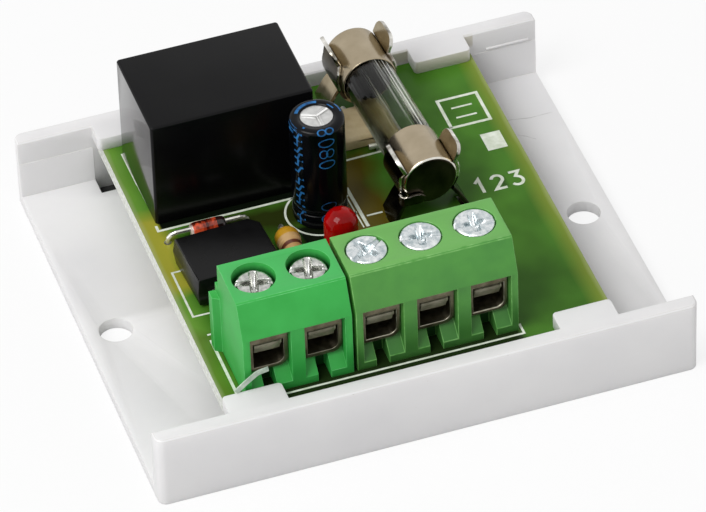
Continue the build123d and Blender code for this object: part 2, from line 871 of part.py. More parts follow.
# Shrunk plastic sleeve, rolled over the top and bottom edges
with BuildPart() as capacitor_sleeve:
    with BuildSketch(Plane.XZ.offset(-cap_y)):
        with BuildLine():
            Polyline(
                (cap_x + vent_d / 2, cap_top),
                (cap_x + vent_d / 2, cap_top + sleeve_t),
                (cap_x + can_r - 0.4, cap_top + sleeve_t),
                (cap_x + cap_r, cap_top - 0.4),
                (cap_x + cap_r, groove_z + 0.4),
                (cap_x + cap_r - 0.25, groove_z),
                (cap_x + cap_r, groove_z - 0.4),
                (cap_x + cap_r, cap_z),
                (cap_x + can_r - 0.5, cap_z),
                (cap_x + can_r - 0.5, cap_z + 0.15),
                (cap_x + can_r, cap_z + 0.15),
                (cap_x + can_r, groove_z - 0.35),
                (cap_x + can_r - 0.25, groove_z),
                (cap_x + can_r, groove_z + 0.35),
                (cap_x + can_r, cap_top - 0.45),
                (cap_x + can_r - 0.45, cap_top),
                close=True,
            )
        make_face()
    revolve(axis=Axis((cap_x, cap_y, 0), (0, 0, 1)))
capacitor_sleeve.part.label = "capacitor_sleeve"
export_step(capacitor_sleeve.part, "parts/capacitor_sleeve.step")

# Rubber plug with the two lead holes
with BuildPart() as capacitor_plug:
    with BuildSketch(Plane.XY.offset(cap_z + 0.15)):
        with Locations((cap_x, cap_y)):
            Circle(can_r - can_wall - 0.25)
            with Locations((-lead_pitch_cap / 2, 0), (lead_pitch_cap / 2, 0)):
                RegularPolygon(lead_d / 2, 8, major_radius=False, mode=Mode.SUBTRACT)
    extrude(amount=2.0)
capacitor_plug.part.label = "capacitor_plug"
export_step(capacitor_plug.part, "parts/capacitor_plug.step")

# Rolled foil inside
with BuildPart() as capacitor_roll:
    with BuildSketch(Plane.XY.offset(cap_z + 2.15)):
        with Locations((cap_x, cap_y)):
            Circle(can_r - can_wall - 0.3)
    extrude(amount=cap_height - 2.15 - can_wall - 0.45)
capacitor_roll.part.label = "capacitor_roll"
export_step(capacitor_roll.part, "parts/capacitor_roll.step")

with BuildPart() as capacitor_leads:
    with BuildSketch(Plane.XY.offset(lead_end)):
        with Locations((cap_x - lead_pitch_cap / 2, cap_y), (cap_x + lead_pitch_cap / 2, cap_y)):
            RegularPolygon(lead_d / 2, 8, major_radius=False)
    extrude(amount=cap_z + 2.15 - lead_end)
capacitor_leads.part.label = "capacitor_leads"
export_step(capacitor_leads.part, "parts/capacitor_leads.step")


# Bridge rectifier, soldered in a little askew
part_line = bridge_z + bridge_height / 2
with BuildPart() as bridge_body:
    # Two drafted halves that meet at the parting line
    for way in (1, -1):
        with BuildSketch(Plane.XY.offset(part_line)) as plan:
            with Locations((bridge_x, bridge_y)):
                Rectangle(bridge_length, bridge_width)
            mark = plan.vertices().sort_by(Axis.X)[-2:].sort_by(Axis.Y)[-1]
            chamfer(mark, length=bridge_chamfer)
        extrude(amount=way * bridge_height / 2, taper=7)
    chamfer(bridge_body.faces().sort_by(Axis.Z)[-1].edges(), length=0.08)
    # Pockets that the four pins sit in
    for px in (-1, 1):
        for py in (-1, 1):
            pocket_y = bridge_y + py * (bridge_width / 2 - 0.6)
            with Locations((bridge_x + px * bridge_pin_pitch / 2, pocket_y, part_line)):
                Box(0.5, 1.2, 0.3, mode=Mode.SUBTRACT)
bridge_body = bridge_body.part.rotate(Axis((bridge_x, bridge_y, 0), (0, 0, 1)), bridge_turn)
bridge_body.label = "bridge_body"
export_step(bridge_body, "parts/bridge_body.step")

with BuildPart() as bridge_pins:
    for px in (-1, 1):
        for py in (-1, 1):
            with BuildSketch(Plane.YZ.offset(bridge_x + px * bridge_pin_pitch / 2)):
                with BuildLine():
                    Polyline(
                        (bridge_y + py * (bridge_width / 2 - 1.2), part_line + 0.15),
                        (bridge_y + py * (bridge_row / 2), part_line + 0.15),
                        (bridge_y + py * (bridge_row / 2 + 0.15), part_line),
                        (bridge_y + py * (bridge_row / 2 + 0.15), lead_end),
                        (bridge_y + py * (bridge_row / 2 - 0.15), lead_end),
                        (bridge_y + py * (bridge_row / 2 - 0.15), part_line - 0.15),
                        (bridge_y + py * (bridge_width / 2 - 1.2), part_line - 0.15),
                        close=True,
                    )
                make_face()
            extrude(amount=0.25, both=True)
bridge_pins = bridge_pins.part.rotate(Axis((bridge_x, bridge_y, 0), (0, 0, 1)), bridge_turn)
bridge_pins.label = "bridge_pins"
export_step(bridge_pins, "parts/bridge_pins.step")


# Glass diode
with BuildPart() as diode_body:
    with BuildSketch(Plane.XZ.offset(-diode_y)) as half:
        with Locations((diode_x, diode_z)):
            Rectangle(diode_length, diode_d / 2, align=(Align.CENTER, Align.MIN))
        chamfer(half.vertices().group_by(Axis.Y)[-1], length=0.3)
    revolve(axis=Axis((diode_x, diode_y, diode_z), (1, 0, 0)))
    for side in (-1, 1):
        with BuildSketch(Plane.YZ.offset(diode_x + side * 0.5)):
            with Locations((diode_y, diode_z)):
                RegularPolygon(diode_lead_d / 2, 8, major_radius=False)
        extrude(amount=side * diode_length, mode=Mode.SUBTRACT)
diode_body.part.label = "diode_body"
export_step(diode_body.part, "parts/diode_body.step")

with BuildPart() as diode_leads:
    with BuildLine(Plane.XZ.offset(-diode_y)) as bend:
        foot = diode_x - diode_pitch / 2
        Polyline(
            (foot, lead_end),
            (foot, diode_z - diode_bend),
            (foot + 0.13 * diode_bend, diode_z - 0.5 * diode_bend),
            (foot + 0.5 * diode_bend, diode_z - 0.13 * diode_bend),
            (foot + diode_bend, diode_z),
            (diode_x - 0.5, diode_z),
        )
    with BuildSketch(Plane.XY.offset(lead_end)):
        with Locations((diode_x - diode_pitch / 2, diode_y)):
            RegularPolygon(diode_lead_d / 2, 8, major_radius=False)
    sweep(path=bend.wires()[0], transition=Transition.RIGHT)
    mirror(about=Plane.YZ.offset(diode_x))
diode_leads.part.label = "diode_leads"
export_step(diode_leads.part, "parts/diode_leads.step")


# Resistor: two bulbs over the end caps and a narrower middle
with BuildPart() as resistor_body:
    with BuildSketch(Plane.YZ.offset(resistor_x)):
        with BuildLine():
            half_l = resistor_length / 2
            Polyline(
                (resistor_y - half_l, resistor_z),
                (resistor_y - half_l, resistor_z + resistor_d / 2 - 0.6),
                (resistor_y - half_l + 0.4, resistor_z + resistor_d / 2 - 0.1),
                (resistor_y - half_l + 1.2, resistor_z + resistor_d / 2),
                (resistor_y - half_l + 1.9, resistor_z + resistor_waist_d / 2),
                (resistor_y + half_l - 1.9, resistor_z + resistor_waist_d / 2),
                (resistor_y + half_l - 1.2, resistor_z + resistor_d / 2),
                (resistor_y + half_l - 0.4, resistor_z + resistor_d / 2 - 0.1),
                (resistor_y + half_l, resistor_z + resistor_d / 2 - 0.6),
                (resistor_y + half_l, resistor_z),
                close=True,
            )
        make_face()
    revolve(axis=Axis((resistor_x, resistor_y, resistor_z), (0, 1, 0)))
    with BuildSketch(Plane.XZ.offset(-resistor_y - resistor_length / 2)):
        with Locations((resistor_x, resistor_z)):
            RegularPolygon(lead_d / 2, 8, major_radius=False)
    extrude(amount=0.8, mode=Mode.SUBTRACT)
    with BuildSketch(Plane.XZ.offset(-resistor_y + resistor_length / 2)):
        with Locations((resistor_x, resistor_z)):
            RegularPolygon(lead_d / 2, 8, major_radius=False)
    extrude(amount=-0.8, mode=Mode.SUBTRACT)
resistor_body.part.label = "resistor_body"
export_step(resistor_body.part, "parts/resistor_body.step")

with BuildPart() as resistor_leads:
    with BuildLine(Plane.YZ.offset(resistor_x)) as bend:
        foot = resistor_y - resistor_pitch / 2
        Polyline(
            (foot, lead_end),
            (foot, resistor_z - resistor_bend),
            (foot + 0.3 * resistor_bend, resistor_z - 0.3 * resistor_bend),
            (foot + resistor_bend, resistor_z),
            (resistor_y - resistor_length / 2 + 0.8, resistor_z),
        )
    with BuildSketch(Plane.XY.offset(lead_end)):
        with Locations((resistor_x, resistor_y - resistor_pitch / 2)):
            RegularPolygon(lead_d / 2, 8, major_radius=False)
    sweep(path=bend.wires()[0], transition=Transition.RIGHT)
    mirror(about=Plane.XZ.offset(-resistor_y))
resistor_leads.part.label = "resistor_leads"
export_step(resistor_leads.part, "parts/resistor_leads.step")


# Light emitting diode
led_r = led_d / 2
with BuildPart() as led_lens:
    with BuildSketch(Plane.XZ.offset(-led_y)):
        with BuildLine():
            Polyline(
                (led_x, led_top),
                (led_x, led_bottom),
                (led_x + led_flange_d / 2, led_bottom),
                (led_x + led_flange_d / 2, led_bottom + led_flange_t),
                (led_x + led_r, led_bottom + led_flange_t),
                (led_x + led_r, led_top - led_r),
                *[
                    (led_x + led_r * cos(radians(a)), led_top - led_r + led_r * sin(radians(a)))
                    for a in (18, 36, 54, 72)
                ],
                (led_x, led_top),
            )
        make_face()
    revolve(axis=Axis((led_x, led_y, 0), (0, 0, 1)))
    # Flat on the flange beside the cathode
    with Locations((led_x + led_r + 1.0, led_y, led_bottom)):
        Box(2.0, 5.0, led_flange_t, align=(Align.CENTER, Align.CENTER, Align.MIN),
            mode=Mode.SUBTRACT)
    with BuildSketch(Plane.XY.offset(led_bottom)):
        with Locations((led_x - led_pitch / 2, led_y), (led_x + led_pitch / 2, led_y)):
            RegularPolygon(lead_d / 2, 8, major_radius=False)
    extrude(amount=1.2, mode=Mode.SUBTRACT)
led_lens.part.label = "led_lens"
export_step(led_lens.part, "parts/led_lens.step")

with BuildPart() as led_leads:
    with BuildSketch(Plane.XY.offset(lead_end)):
        with Locations((led_x - led_pitch / 2, led_y), (led_x + led_pitch / 2, led_y)):
            RegularPolygon(lead_d / 2, 8, major_radius=False)
    extrude(amount=led_bottom + 1.2 - lead_end)
led_leads.part.label = "led_leads"
export_step(led_leads.part, "parts/led_leads.step")


# Flat dipped capacitor
with BuildPart() as flat_capacitor_body:
    with BuildSketch(Plane.XY.offset(flat_z)):
        with Locations((flat_x, flat_y)):
            RectangleRounded(flat_length, flat_width, 1.0)
    extrude(amount=flat_t)
    chamfer(flat_capacitor_body.faces().sort_by(Axis.Z)[-1].edges(), length=0.3)
    for side, x in ((-1, flat_lead_x), (1, flat_lead_x - 1.6)):
        with BuildSketch(Plane.XZ.offset(-flat_y - side * (flat_width / 2 - 1.0))):
            with Locations((x, flat_z + flat_t / 2)):
                RegularPolygon(lead_d / 2, 8, major_radius=False)
        extrude(amount=-side * 1.2, mode=Mode.SUBTRACT)
flat_capacitor_body.part.label = "flat_capacitor_body"
export_step(flat_capacitor_body.part, "parts/flat_capacitor_body.step")

with BuildPart() as flat_capacitor_leads:
    for side, x in ((-1, flat_lead_x), (1, flat_lead_x - 1.6)):
        foot = flat_y + side * flat_lead_y
        level = flat_z + flat_t / 2
        with BuildLine(Plane.YZ.offset(x)) as bend:
            Polyline(
                (foot, lead_end),
                (foot, level - 0.4),
                (foot - side * 0.12, level - 0.12),
                (foot - side * 0.4, level),
                (flat_y + side * (flat_width / 2 - 1.0), level),
            )
        with BuildSketch(Plane.XY.offset(lead_end)):
            with Locations((x, foot)):
                RegularPolygon(lead_d / 2, 8, major_radius=False)
        sweep(path=bend.wires()[0], transition=Transition.RIGHT)
flat_capacitor_leads.part.label = "flat_capacitor_leads"
export_step(flat_capacitor_leads.part, "parts/flat_capacitor_leads.step")


# Fuse: glass tube, two caps and the wire
# The fuse and its clips sit a little askew on the board, turned about the front clip.
glass_r = fuse_d / 2 - fuse_cap_wall
askew_axis = Axis((fuse_x, turn_y, 0), (0, 0, 1))
with BuildPart() as fuse_glass:
    with BuildSketch(Plane.XZ.offset(-fuse_y)):
        with Locations((fuse_x, fuse_z)):
            Circle(glass_r)
            Circle(glass_bore / 2, mode=Mode.SUBTRACT)
    extrude(amount=fuse_length / 2 - fuse_cap_wall - 0.2, both=True)
fuse_glass = fuse_glass.part.rotate(askew_axis, fuse_turn)
fuse_glass.label = "fuse_glass"
export_step(fuse_glass, "parts/fuse_glass.step")

for end, name in ((-1, "fuse_cap_front"), (1, "fuse_cap_rear")):
    with BuildPart() as fuse_cap:
        tip = fuse_y + end * fuse_length / 2
        with BuildSketch(Plane.YZ.offset(fuse_x)):
            with BuildLine():
                Polyline(
                    (tip, fuse_z),
                    (tip, fuse_z + fuse_d / 2 - 0.3),
                    (tip - end * 0.3, fuse_z + fuse_d / 2),
                    (tip - end * fuse_cap_length, fuse_z + fuse_d / 2),
                    (tip - end * fuse_cap_length, fuse_z + glass_r),
                    (tip - end * (fuse_cap_wall + 0.2), fuse_z + glass_r),
                    (tip - end * (fuse_cap_wall + 0.2), fuse_z),
                    close=True,
                )
            make_face()
        revolve(axis=Axis((fuse_x, fuse_y, fuse_z), (0, 1, 0)))
    fuse_cap = fuse_cap.part.rotate(askew_axis, fuse_turn)
    fuse_cap.label = name
    export_step(fuse_cap, f"parts/{name}.step")

with BuildPart() as fuse_wire:
    with BuildSketch(Plane.XZ.offset(-fuse_y)):
        with Locations((fuse_x, fuse_z)):
            RegularPolygon(fuse_wire_d / 2, 6)
    extrude(amount=fuse_length / 2 - fuse_cap_wall - 0.2, both=True)
fuse_wire = fuse_wire.part.rotate(askew_axis, fuse_turn)
fuse_wire.label = "fuse_wire"
export_step(fuse_wire, "parts/fuse_wire.step")

# Spring clips: one bent strip each, with a flat bottom, two arms that close over the cap and
# flare out into rounded ears, and two splayed legs. The clips are alike and stand face to
# face, each with one end stop, which is on the front one's left arm.
for end, name in ((-1, "fuse_clip_front"), (1, "fuse_clip_rear")):
    outer_y = fuse_y + end * (fuse_length / 2 + clip_stop_gap)
    middle_y = outer_y - end * clip_width / 2
    leg_y = outer_y - end * leg_width / 2
    base_z = fuse_z - fuse_d / 2 - clip_gap - clip_t / 2
    with BuildPart() as fuse_clip:
        with BuildSketch(Plane.XZ.offset(-middle_y)):
            with BuildLine():
                flat = Line((fuse_x, base_z), (fuse_x + clip_base_half, base_z))
                belly = ThreePointArc(
                    flat @ 1,
                    (fuse_x + clip_belly, fuse_z - 0.35),
                    (fuse_x + clip_pinch_x, fuse_z + clip_pinch_z),
                )
                Line(belly @ 1, (fuse_x + clip_lip_x, fuse_z + clip_lip_z))
                offset(amount=clip_t / 2, side=Side.BOTH)
            make_face()
        extrude(amount=clip_width / 2, both=True)
        # Ears with rounded corners, at the outer part of each arm
        ear_y = outer_y - end * ear_width / 2
        with BuildSketch(Plane.YZ.offset(fuse_x)):
            with Locations((middle_y, fuse_z + clip_pinch_z + 0.1)):
                Rectangle(clip_width + 1, 2, align=(Align.CENTER, Align.MIN))
            with Locations((ear_y, fuse_z + clip_lip_z + clip_t / 2)):
                RectangleRounded(
                    ear_width, 4, ear_radius, align=(Align.CENTER, Align.MAX), mode=Mode.SUBTRACT
                )
        extrude(amount=clip_belly + 1, both=True, mode=Mode.SUBTRACT)
        # Splayed leg under the belly and its pin through the board
        with BuildSketch(Plane.XZ.offset(-leg_y)):
            with BuildLine():
                Polyline(
                    (fuse_x + 2.17, fuse_z - 2.03),
                    (fuse_x + 2.53, fuse_z - 1.87),
                    (fuse_x + leg_x + clip_t / 2, board_top + 0.35),
                    (fuse_x + leg_x + clip_t / 2, board_top + 0.05),
                    (fuse_x + leg_x - clip_t / 2, board_top + 0.05),
                    (fuse_x + leg_x - clip_t / 2, board_top + 0.4),
                    close=True,
                )
            make_face()
        extrude(amount=leg_width / 2, both=True)
        with Locations((fuse_x + leg_x, leg_y, lead_end)):
            Box(
                clip_t,
                leg_pin_width,
                board_top + 0.3 - lead_end,
                align=(Align.CENTER, Align.CENTER, Align.MIN),
            )
        mirror(about=Plane.YZ.offset(fuse_x))
        with BuildSketch(Plane.XZ.offset(-outer_y)):
            with Locations((fuse_x + end * (clip_belly - 0.1), fuse_z - 1.45)):
                Rectangle(1.9, 0.9, align=(Align.MAX if end > 0 else Align.MIN, Align.CENTER))
        extrude(amount=-end * clip_stop)
    fuse_clip = fuse_clip.part.rotate(askew_axis, fuse_turn)
    fuse_clip.label = name
    export_step(fuse_clip, f"parts/{name}.step")
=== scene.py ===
import math

import bmesh
import bpy
import numpy as np
from mathutils import Matrix, Vector


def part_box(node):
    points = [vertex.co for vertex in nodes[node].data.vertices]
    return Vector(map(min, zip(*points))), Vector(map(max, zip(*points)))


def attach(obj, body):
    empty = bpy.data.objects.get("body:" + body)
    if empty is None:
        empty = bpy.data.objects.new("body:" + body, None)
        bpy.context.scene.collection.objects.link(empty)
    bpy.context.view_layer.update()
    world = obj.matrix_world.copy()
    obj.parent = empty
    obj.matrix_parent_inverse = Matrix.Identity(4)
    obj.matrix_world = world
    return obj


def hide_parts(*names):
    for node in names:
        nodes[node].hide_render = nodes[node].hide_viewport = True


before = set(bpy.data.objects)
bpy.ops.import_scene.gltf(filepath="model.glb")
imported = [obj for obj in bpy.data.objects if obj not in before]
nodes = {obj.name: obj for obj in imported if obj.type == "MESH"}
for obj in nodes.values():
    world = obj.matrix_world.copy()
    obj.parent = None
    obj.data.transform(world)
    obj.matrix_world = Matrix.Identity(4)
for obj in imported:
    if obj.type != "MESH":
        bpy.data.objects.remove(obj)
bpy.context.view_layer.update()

MM = 0.001


def span(node):
    """Centre and size of a node's box at rest, in millimetres."""
    low, high = (np.array(corner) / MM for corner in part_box(node))
    return (low + high) / 2, high - low


# Places and sizes in millimetres, read from the frame where it holds them
FLOOR_TOP = 1.2
board_centre, board_size = span("circuit_board")
BOARD_TOP = board_centre[2] + board_size[2] / 2
INK_LIFT = 0.012
can_centre, can_size = span("capacitor_sleeve")
CAN_RADIUS = can_size[0] / 2
CAN_LOW, CAN_HIGH = can_centre[2] + np.array([-0.5, 0.5]) * can_size[2]
VENT_RADIUS = 1.5
SLEEVE_WALL = 0.13
led_centre, led_size = span("led_lens")
LED_LOW, LED_HIGH = led_centre[2] + np.array([-0.5, 0.5]) * led_size[2]
LED_RADIUS = 1.55
led_axis = span("led_leads")[0]
FUSE_TURN = 2.5
fuse_centre = span("fuse_glass")[0]
FUSE_LENGTH = 20.0
FUSE_RADIUS = span("fuse_cap_front")[1][2] / 2
FUSE_CAP_LENGTH = 5.0
FUSE_CAP_WALL = 0.15
GLASS_BORE = 3.9
resistor_centre, resistor_size = span("resistor_body")
diode_centre, diode_size = span("diode_body")
# Radius of the wells over the clamp screws, the degrees that each screw is turned and the
# thickness of its head
WELL_RADIUS = 2.3
SCREW_TURNS = (-14, -14, 33, -8, -2)
HEAD_THICKNESS = (0.95, 0.95, 1.4, 1.4, 1.4)
# A distance beyond anything on the object
FAR = 99.0
# Columns round a lathe form that shows large and round one with fine relief
LARGE_ROUND, FINE_ROUND = 96, 120
# Degrees of bend past which an edge is softened and a fold kept crisp, and up to which
# triangles are one face
EDGE_ANGLE, FOLD_ANGLE, FLAT_ANGLE = 28, 40, 1.5


# Shapes
def grid_faces(rows, columns, round_columns=True, round_rows=False):
    """Quads between neighbouring rows and columns of a grid; a round direction joins its last
    line to its first."""
    across = np.arange(columns if round_columns else columns - 1)
    down = np.arange(rows if round_rows else rows - 1)[:, None]
    beside, below = (across + 1) % columns, (down + 1) % rows
    corners = [
        down * columns + across,
        down * columns + beside,
        below * columns + beside,
        below * columns + across,
    ]
    return np.stack(corners, -1).reshape(-1, 4).tolist()


def surface(name, points, faces, body, *replaced, smooth=True):
    """A mesh from an array of points in millimetres and a list of faces, riding on body."""
    mesh = bpy.data.meshes.new(name)
    mesh.from_pydata((np.asarray(points).reshape(-1, 3) * MM).tolist(), [], faces)
    mesh.validate()
    mesh.polygons.foreach_set("use_smooth", np.full(len(mesh.polygons), smooth))
    mesh.update()
    piece = bpy.data.objects.new(name, mesh)
    bpy.context.scene.collection.objects.link(piece)
    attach(piece, body)
    if replaced:
        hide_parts(*replaced)
    return piece


def joined(strokes):
    """Several point and face sets as one array of points and one list of faces."""
    points, faces, used = [], [], 0
    for edges, quads in strokes:
        points.append(edges)
        faces += [[used + corner for corner in quad] for quad in quads]
        used += len(edges)
    return np.vstack(points), faces


def turned(profile, centre, along="Z", turn=0.0, turns=64, ring=False):
    """Points and faces of a lathe form. Each (radius, height) of the profile goes once round
    the axis: (radius cos angle, radius sin angle, height). A radius of 0 at an end closes it
    with a fan, and a ring joins the profile's end to its start. The solid lies to the left of
    the profile's run. The form is laid along the axis, then turned about the upright through
    its centre."""
    profile = np.asarray(profile, float)
    closed_low = not ring and profile[0, 0] < 1e-9
    closed_high = not ring and profile[-1, 0] < 1e-9
    rows = profile[int(closed_low) : len(profile) - int(closed_high)]
    angle = np.arange(turns) * 2 * math.pi / turns
    radius, height = rows[:, :1], rows[:, 1:]
    points = np.stack(
        [radius * np.cos(angle), radius * np.sin(angle), np.broadcast_to(height, (len(rows), turns))], -1
    ).reshape(-1, 3)
    faces = grid_faces(len(rows), turns, True, ring)
    here = np.arange(turns)
    beside = (here + 1) % turns
    if closed_low:
        points = np.vstack([points, [0, 0, profile[0, 1]]])
        faces += np.stack([beside, here, np.full(turns, len(points) - 1)], -1).tolist()
    if closed_high:
        points = np.vstack([points, [0, 0, profile[-1, 1]]])
        last = (len(rows) - 1) * turns
        faces += np.stack([last + here, last + beside, np.full(turns, len(points) - 1)], -1).tolist()
    if along == "Y":
        points = points[:, [1, 2, 0]]
    if along == "X":
        points = points[:, [2, 0, 1]]
    c, s = math.cos(math.radians(turn)), math.sin(math.radians(turn))
    points = points @ np.array([[c, s, 0], [-s, c, 0], [0, 0, 1]])
    return points + np.asarray(centre, float), faces


def rounded(profile, radius, steps=6):
    """A profile with each inner corner replaced by a quadratic curve that starts and ends
    radius away from the corner, or half way to the next one where that is nearer."""
    profile = np.asarray(profile, float)
    t = np.linspace(0, 1, steps)[:, None]
    made = [profile[:1]]
    for before, corner, after in zip(profile[:-2], profile[1:-1], profile[2:]):
        back, ahead = before - corner, after - corner
        long_back, long_ahead = np.linalg.norm(back), np.linalg.norm(ahead)
        near = min(radius, long_back / 2, long_ahead / 2)
        start = corner + back / long_back * near
        end = corner + ahead / long_ahead * near
        made.append((1 - t) ** 2 * start + 2 * t * (1 - t) * corner + t**2 * end)
    made.append(profile[-1:])
    return np.vstack(made)


def softened(node, body, width, wear_and_painted_light=None):
    """A copy of a node with its sharp edges rounded over width, as they come from the tool. The
    rounded edges take the edge finish where there is one, which adds wear and painted light to them."""
    mesh = nodes[node].data.copy()
    mesh.name = f"{node}_soft_edges"
    work = bmesh.new()
    work.from_mesh(mesh)
    bmesh.ops.remove_doubles(work, verts=work.verts, dist=0.001 * MM)
    bmesh.ops.dissolve_limit(work, angle_limit=math.radians(FLAT_ANGLE), verts=work.verts, edges=work.edges)
    work.to_mesh(mesh)
    work.free()
    mesh.polygons.foreach_set("use_smooth", np.ones(len(mesh.polygons), bool))
    piece = bpy.data.objects.new(mesh.name, mesh)
    bpy.context.scene.collection.objects.link(piece)
    edge = piece.modifiers.new("soft_edge", "BEVEL")
    edge.width = width * MM
    edge.segments = 2
    edge.limit_method = "ANGLE"
    edge.angle_limit = math.radians(EDGE_ANGLE)
    edge.harden_normals = True
    if wear_and_painted_light:
        mesh.materials.append(wear_and_painted_light)
        edge.material = 1
    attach(piece, body)
    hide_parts(node)
    return piece


# Materials
def srgb(code):
    """Linear colour of an sRGB hex value."""
    values = np.array([int(code[i : i + 2], 16) for i in (1, 3, 5)]) / 255
    linear = np.where(values <= 0.04045, values / 12.92, ((values + 0.055) / 1.055) ** 2.4)
    return (*linear.tolist(), 1.0)


def feed(tree, node, inputs):
    """Gives a node its inputs, in order or by name or number. Each is a value, a socket or a
    node, of which the first socket in use is then linked."""
    for name, value in inputs.items() if isinstance(inputs, dict) else enumerate(inputs):
        if isinstance(value, bpy.types.Node):
            value = next(socket for socket in value.outputs if socket.enabled)
        if isinstance(value, bpy.types.NodeSocket):
            tree.links.new(value, node.inputs[name])
        else:
            node.inputs[name].default_value = value


def add(tree, kind, inputs=(), stops=(), **settings):
    """Adds a shader node with its settings and inputs; stops are a ramp's places and colours."""
    made = tree.nodes.new(f"ShaderNode{kind}")
    for name, value in settings.items():
        setattr(made, name, value)
    feed(tree, made, inputs)
    for index, (place, colour) in enumerate(stops):
        elements = made.color_ramp.elements
        element = elements[index] if index < 2 else elements.new(place)
        element.position = place
        element.color = srgb(colour)
    return made


def all_of(tree, *shares):
    """The product of several shares: full only where every one of them is."""
    whole = shares[0]
    for share in shares[1:]:
        whole = add(tree, "Math", (whole, share), operation="MULTIPLY")
    return whole


def past(tree, place, middle, half):
    """How far a place on an axis lies beyond a band about a middle: |place - middle| - half."""
    away = add(tree, "Math", (place, float(middle)), operation="SUBTRACT")
    away = add(tree, "Math", (away,), operation="ABSOLUTE")
    return add(tree, "Math", (away, float(half)), operation="SUBTRACT")


def facing_parts(tree):
    """How far a surface faces along X, Y and Z."""
    normal = add(tree, "TexCoord").outputs["Normal"]
    return add(tree, "SeparateXYZ", (normal,)).outputs


def finish(name, colour, roughness, metallic=0.0, **inputs):
    """A material, its tree, its shader and the object's own coordinates in millimetres. The
    colour and roughness are its plain ones, for a viewer that shows no patterns."""
    material = bpy.data.materials.new(name)
    material.use_nodes = True
    tree = material.node_tree
    shader = tree.nodes["Principled BSDF"]
    feed(tree, shader, {"Base Color": srgb(colour), "Roughness": roughness, "Metallic": metallic})
    feed(tree, shader, {socket.replace("_", " "): value for socket, value in inputs.items()})
    place = add(tree, "TexCoord").outputs["Object"]
    mm = add(tree, "Mapping", {"Vector": place, "Scale": (1 / MM, 1 / MM, 1 / MM)})
    return material, tree, shader, mm


def tinted(tree, shader, share, colour):
    """Lays a colour by a share over what the base colour is already linked to."""
    under = shader.inputs["Base Color"].links[0].from_socket
    over = srgb(colour) if isinstance(colour, str) else colour
    feed(tree, shader, {"Base Color": add(tree, "Mix", {0: share, 6: under, 7: over}, data_type="RGBA")})


def wear(tree, shader, where, size_mm, colours, bump_mm=0.0, rough=None):
    """Colour and roughness that drift over size_mm, and a relief of a quarter of that grain."""
    grain = add(tree, "TexNoise", {"Vector": where, "Scale": 1 / size_mm, "Detail": 4.0})
    tint = add(tree, "ValToRGB", (grain,), [(0.3, colours[0]), (0.7, colours[1])])
    feed(tree, shader, {"Base Color": tint})
    if rough:
        spread = add(tree, "MapRange", {"Value": grain, "To Min": rough[0], "To Max": rough[1]})
        feed(tree, shader, {"Roughness": spread})
    if bump_mm:
        fine = add(tree, "TexNoise", {"Vector": where, "Scale": 4 / size_mm, "Detail": 3.0})
        relief = {"Height": fine, "Distance": bump_mm * MM, "Strength": 0.6}
        feed(tree, shader, {"Normal": add(tree, "Bump", relief)})


def worn(name, colour, roughness, metallic, *drift, **inputs):
    """A finish with nothing but its wear."""
    material, tree, shader, mm = finish(name, colour, roughness, metallic, **inputs)
    wear(tree, shader, mm, *drift)
    return material


def specks(tree, shader, where, size_mm, share, colour):
    """Small spots of dirt: where fine noise passes 1 - share, the colour shows."""
    dots = add(tree, "TexNoise", {"Vector": where, "Scale": 1 / size_mm, "Detail": 1.0})
    tinted(tree, shader, add(tree, "MapRange", (dots, 1 - share, 1 - share + 0.04)), colour)


def banded(tree, shader, place, middle, length, stops):
    """Colour bands across a body, each from its share of the length on."""
    low, high = float(middle - length / 2), float(middle + length / 2)
    bands = add(tree, "ValToRGB", (add(tree, "MapRange", (place, low, high)),), stops)
    bands.color_ramp.interpolation = "CONSTANT"
    feed(tree, shader, {"Base Color": bands})


# White ABS, injection moulded: even, faintly warm, satin, with a fine spark-eroded grain, a
# few grey specks of dirt and cloudy handling marks.
white_abs, tree, shader, mm = finish(
    "white_abs_moulded",
    "#DCDBDB",
    0.42,
    Subsurface_Weight=0.3,
    Subsurface_Radius=(1.0, 0.97, 0.94),
    Subsurface_Scale=1.6 * MM,
)
wear(tree, shader, mm, 9.0, ("#D8D7D8", "#E0DFDF"), 0.012, (0.36, 0.5))
specks(tree, shader, mm, 0.55, 0.17, "#B9B6B2")
# The front of the right rear hook is yellowed where fingers press it.
spot = add(tree, "SeparateXYZ", (mm,)).outputs
facing = facing_parts(tree)
pressed = all_of(
    tree,
    add(tree, "MapRange", (facing["Y"], -0.5, -0.9)),
    add(tree, "MapRange", (spot["X"], 3.0, 6.0)),
    add(tree, "MapRange", (spot["Z"], 6.0, 6.4)),
    add(tree, "Math", (past(tree, spot["X"], 12.0, 7.0), 0.0), operation="LESS_THAN"),
    add(tree, "Math", (spot["Y"], 14.0), operation="GREATER_THAN"),
    0.6,
)
tinted(tree, shader, pressed, "#B4AD98")
# The rubbed edges of the tray hold a little grime in patches, and are painted a little darker
# as shade, dimming the light that their rounding catches.
abs_edge_grime_and_shade, tree, shader, mm = finish("abs_edge_grime_and_painted_shade", "#D6D4D0", 0.5)
wear(tree, shader, mm, 3.0, ("#C9C6C0", "#DEDDDC"))
specks(tree, shader, mm, 0.35, 0.25, "#8E877C")
# Two hairline scratches in the tray's floor, a little greyer than the plastic.
scratch = worn("grey_scratch", "#A7A5A2", 0.6, 0.0, 0.7, ("#8F8D8A", "#D3D2D1"))
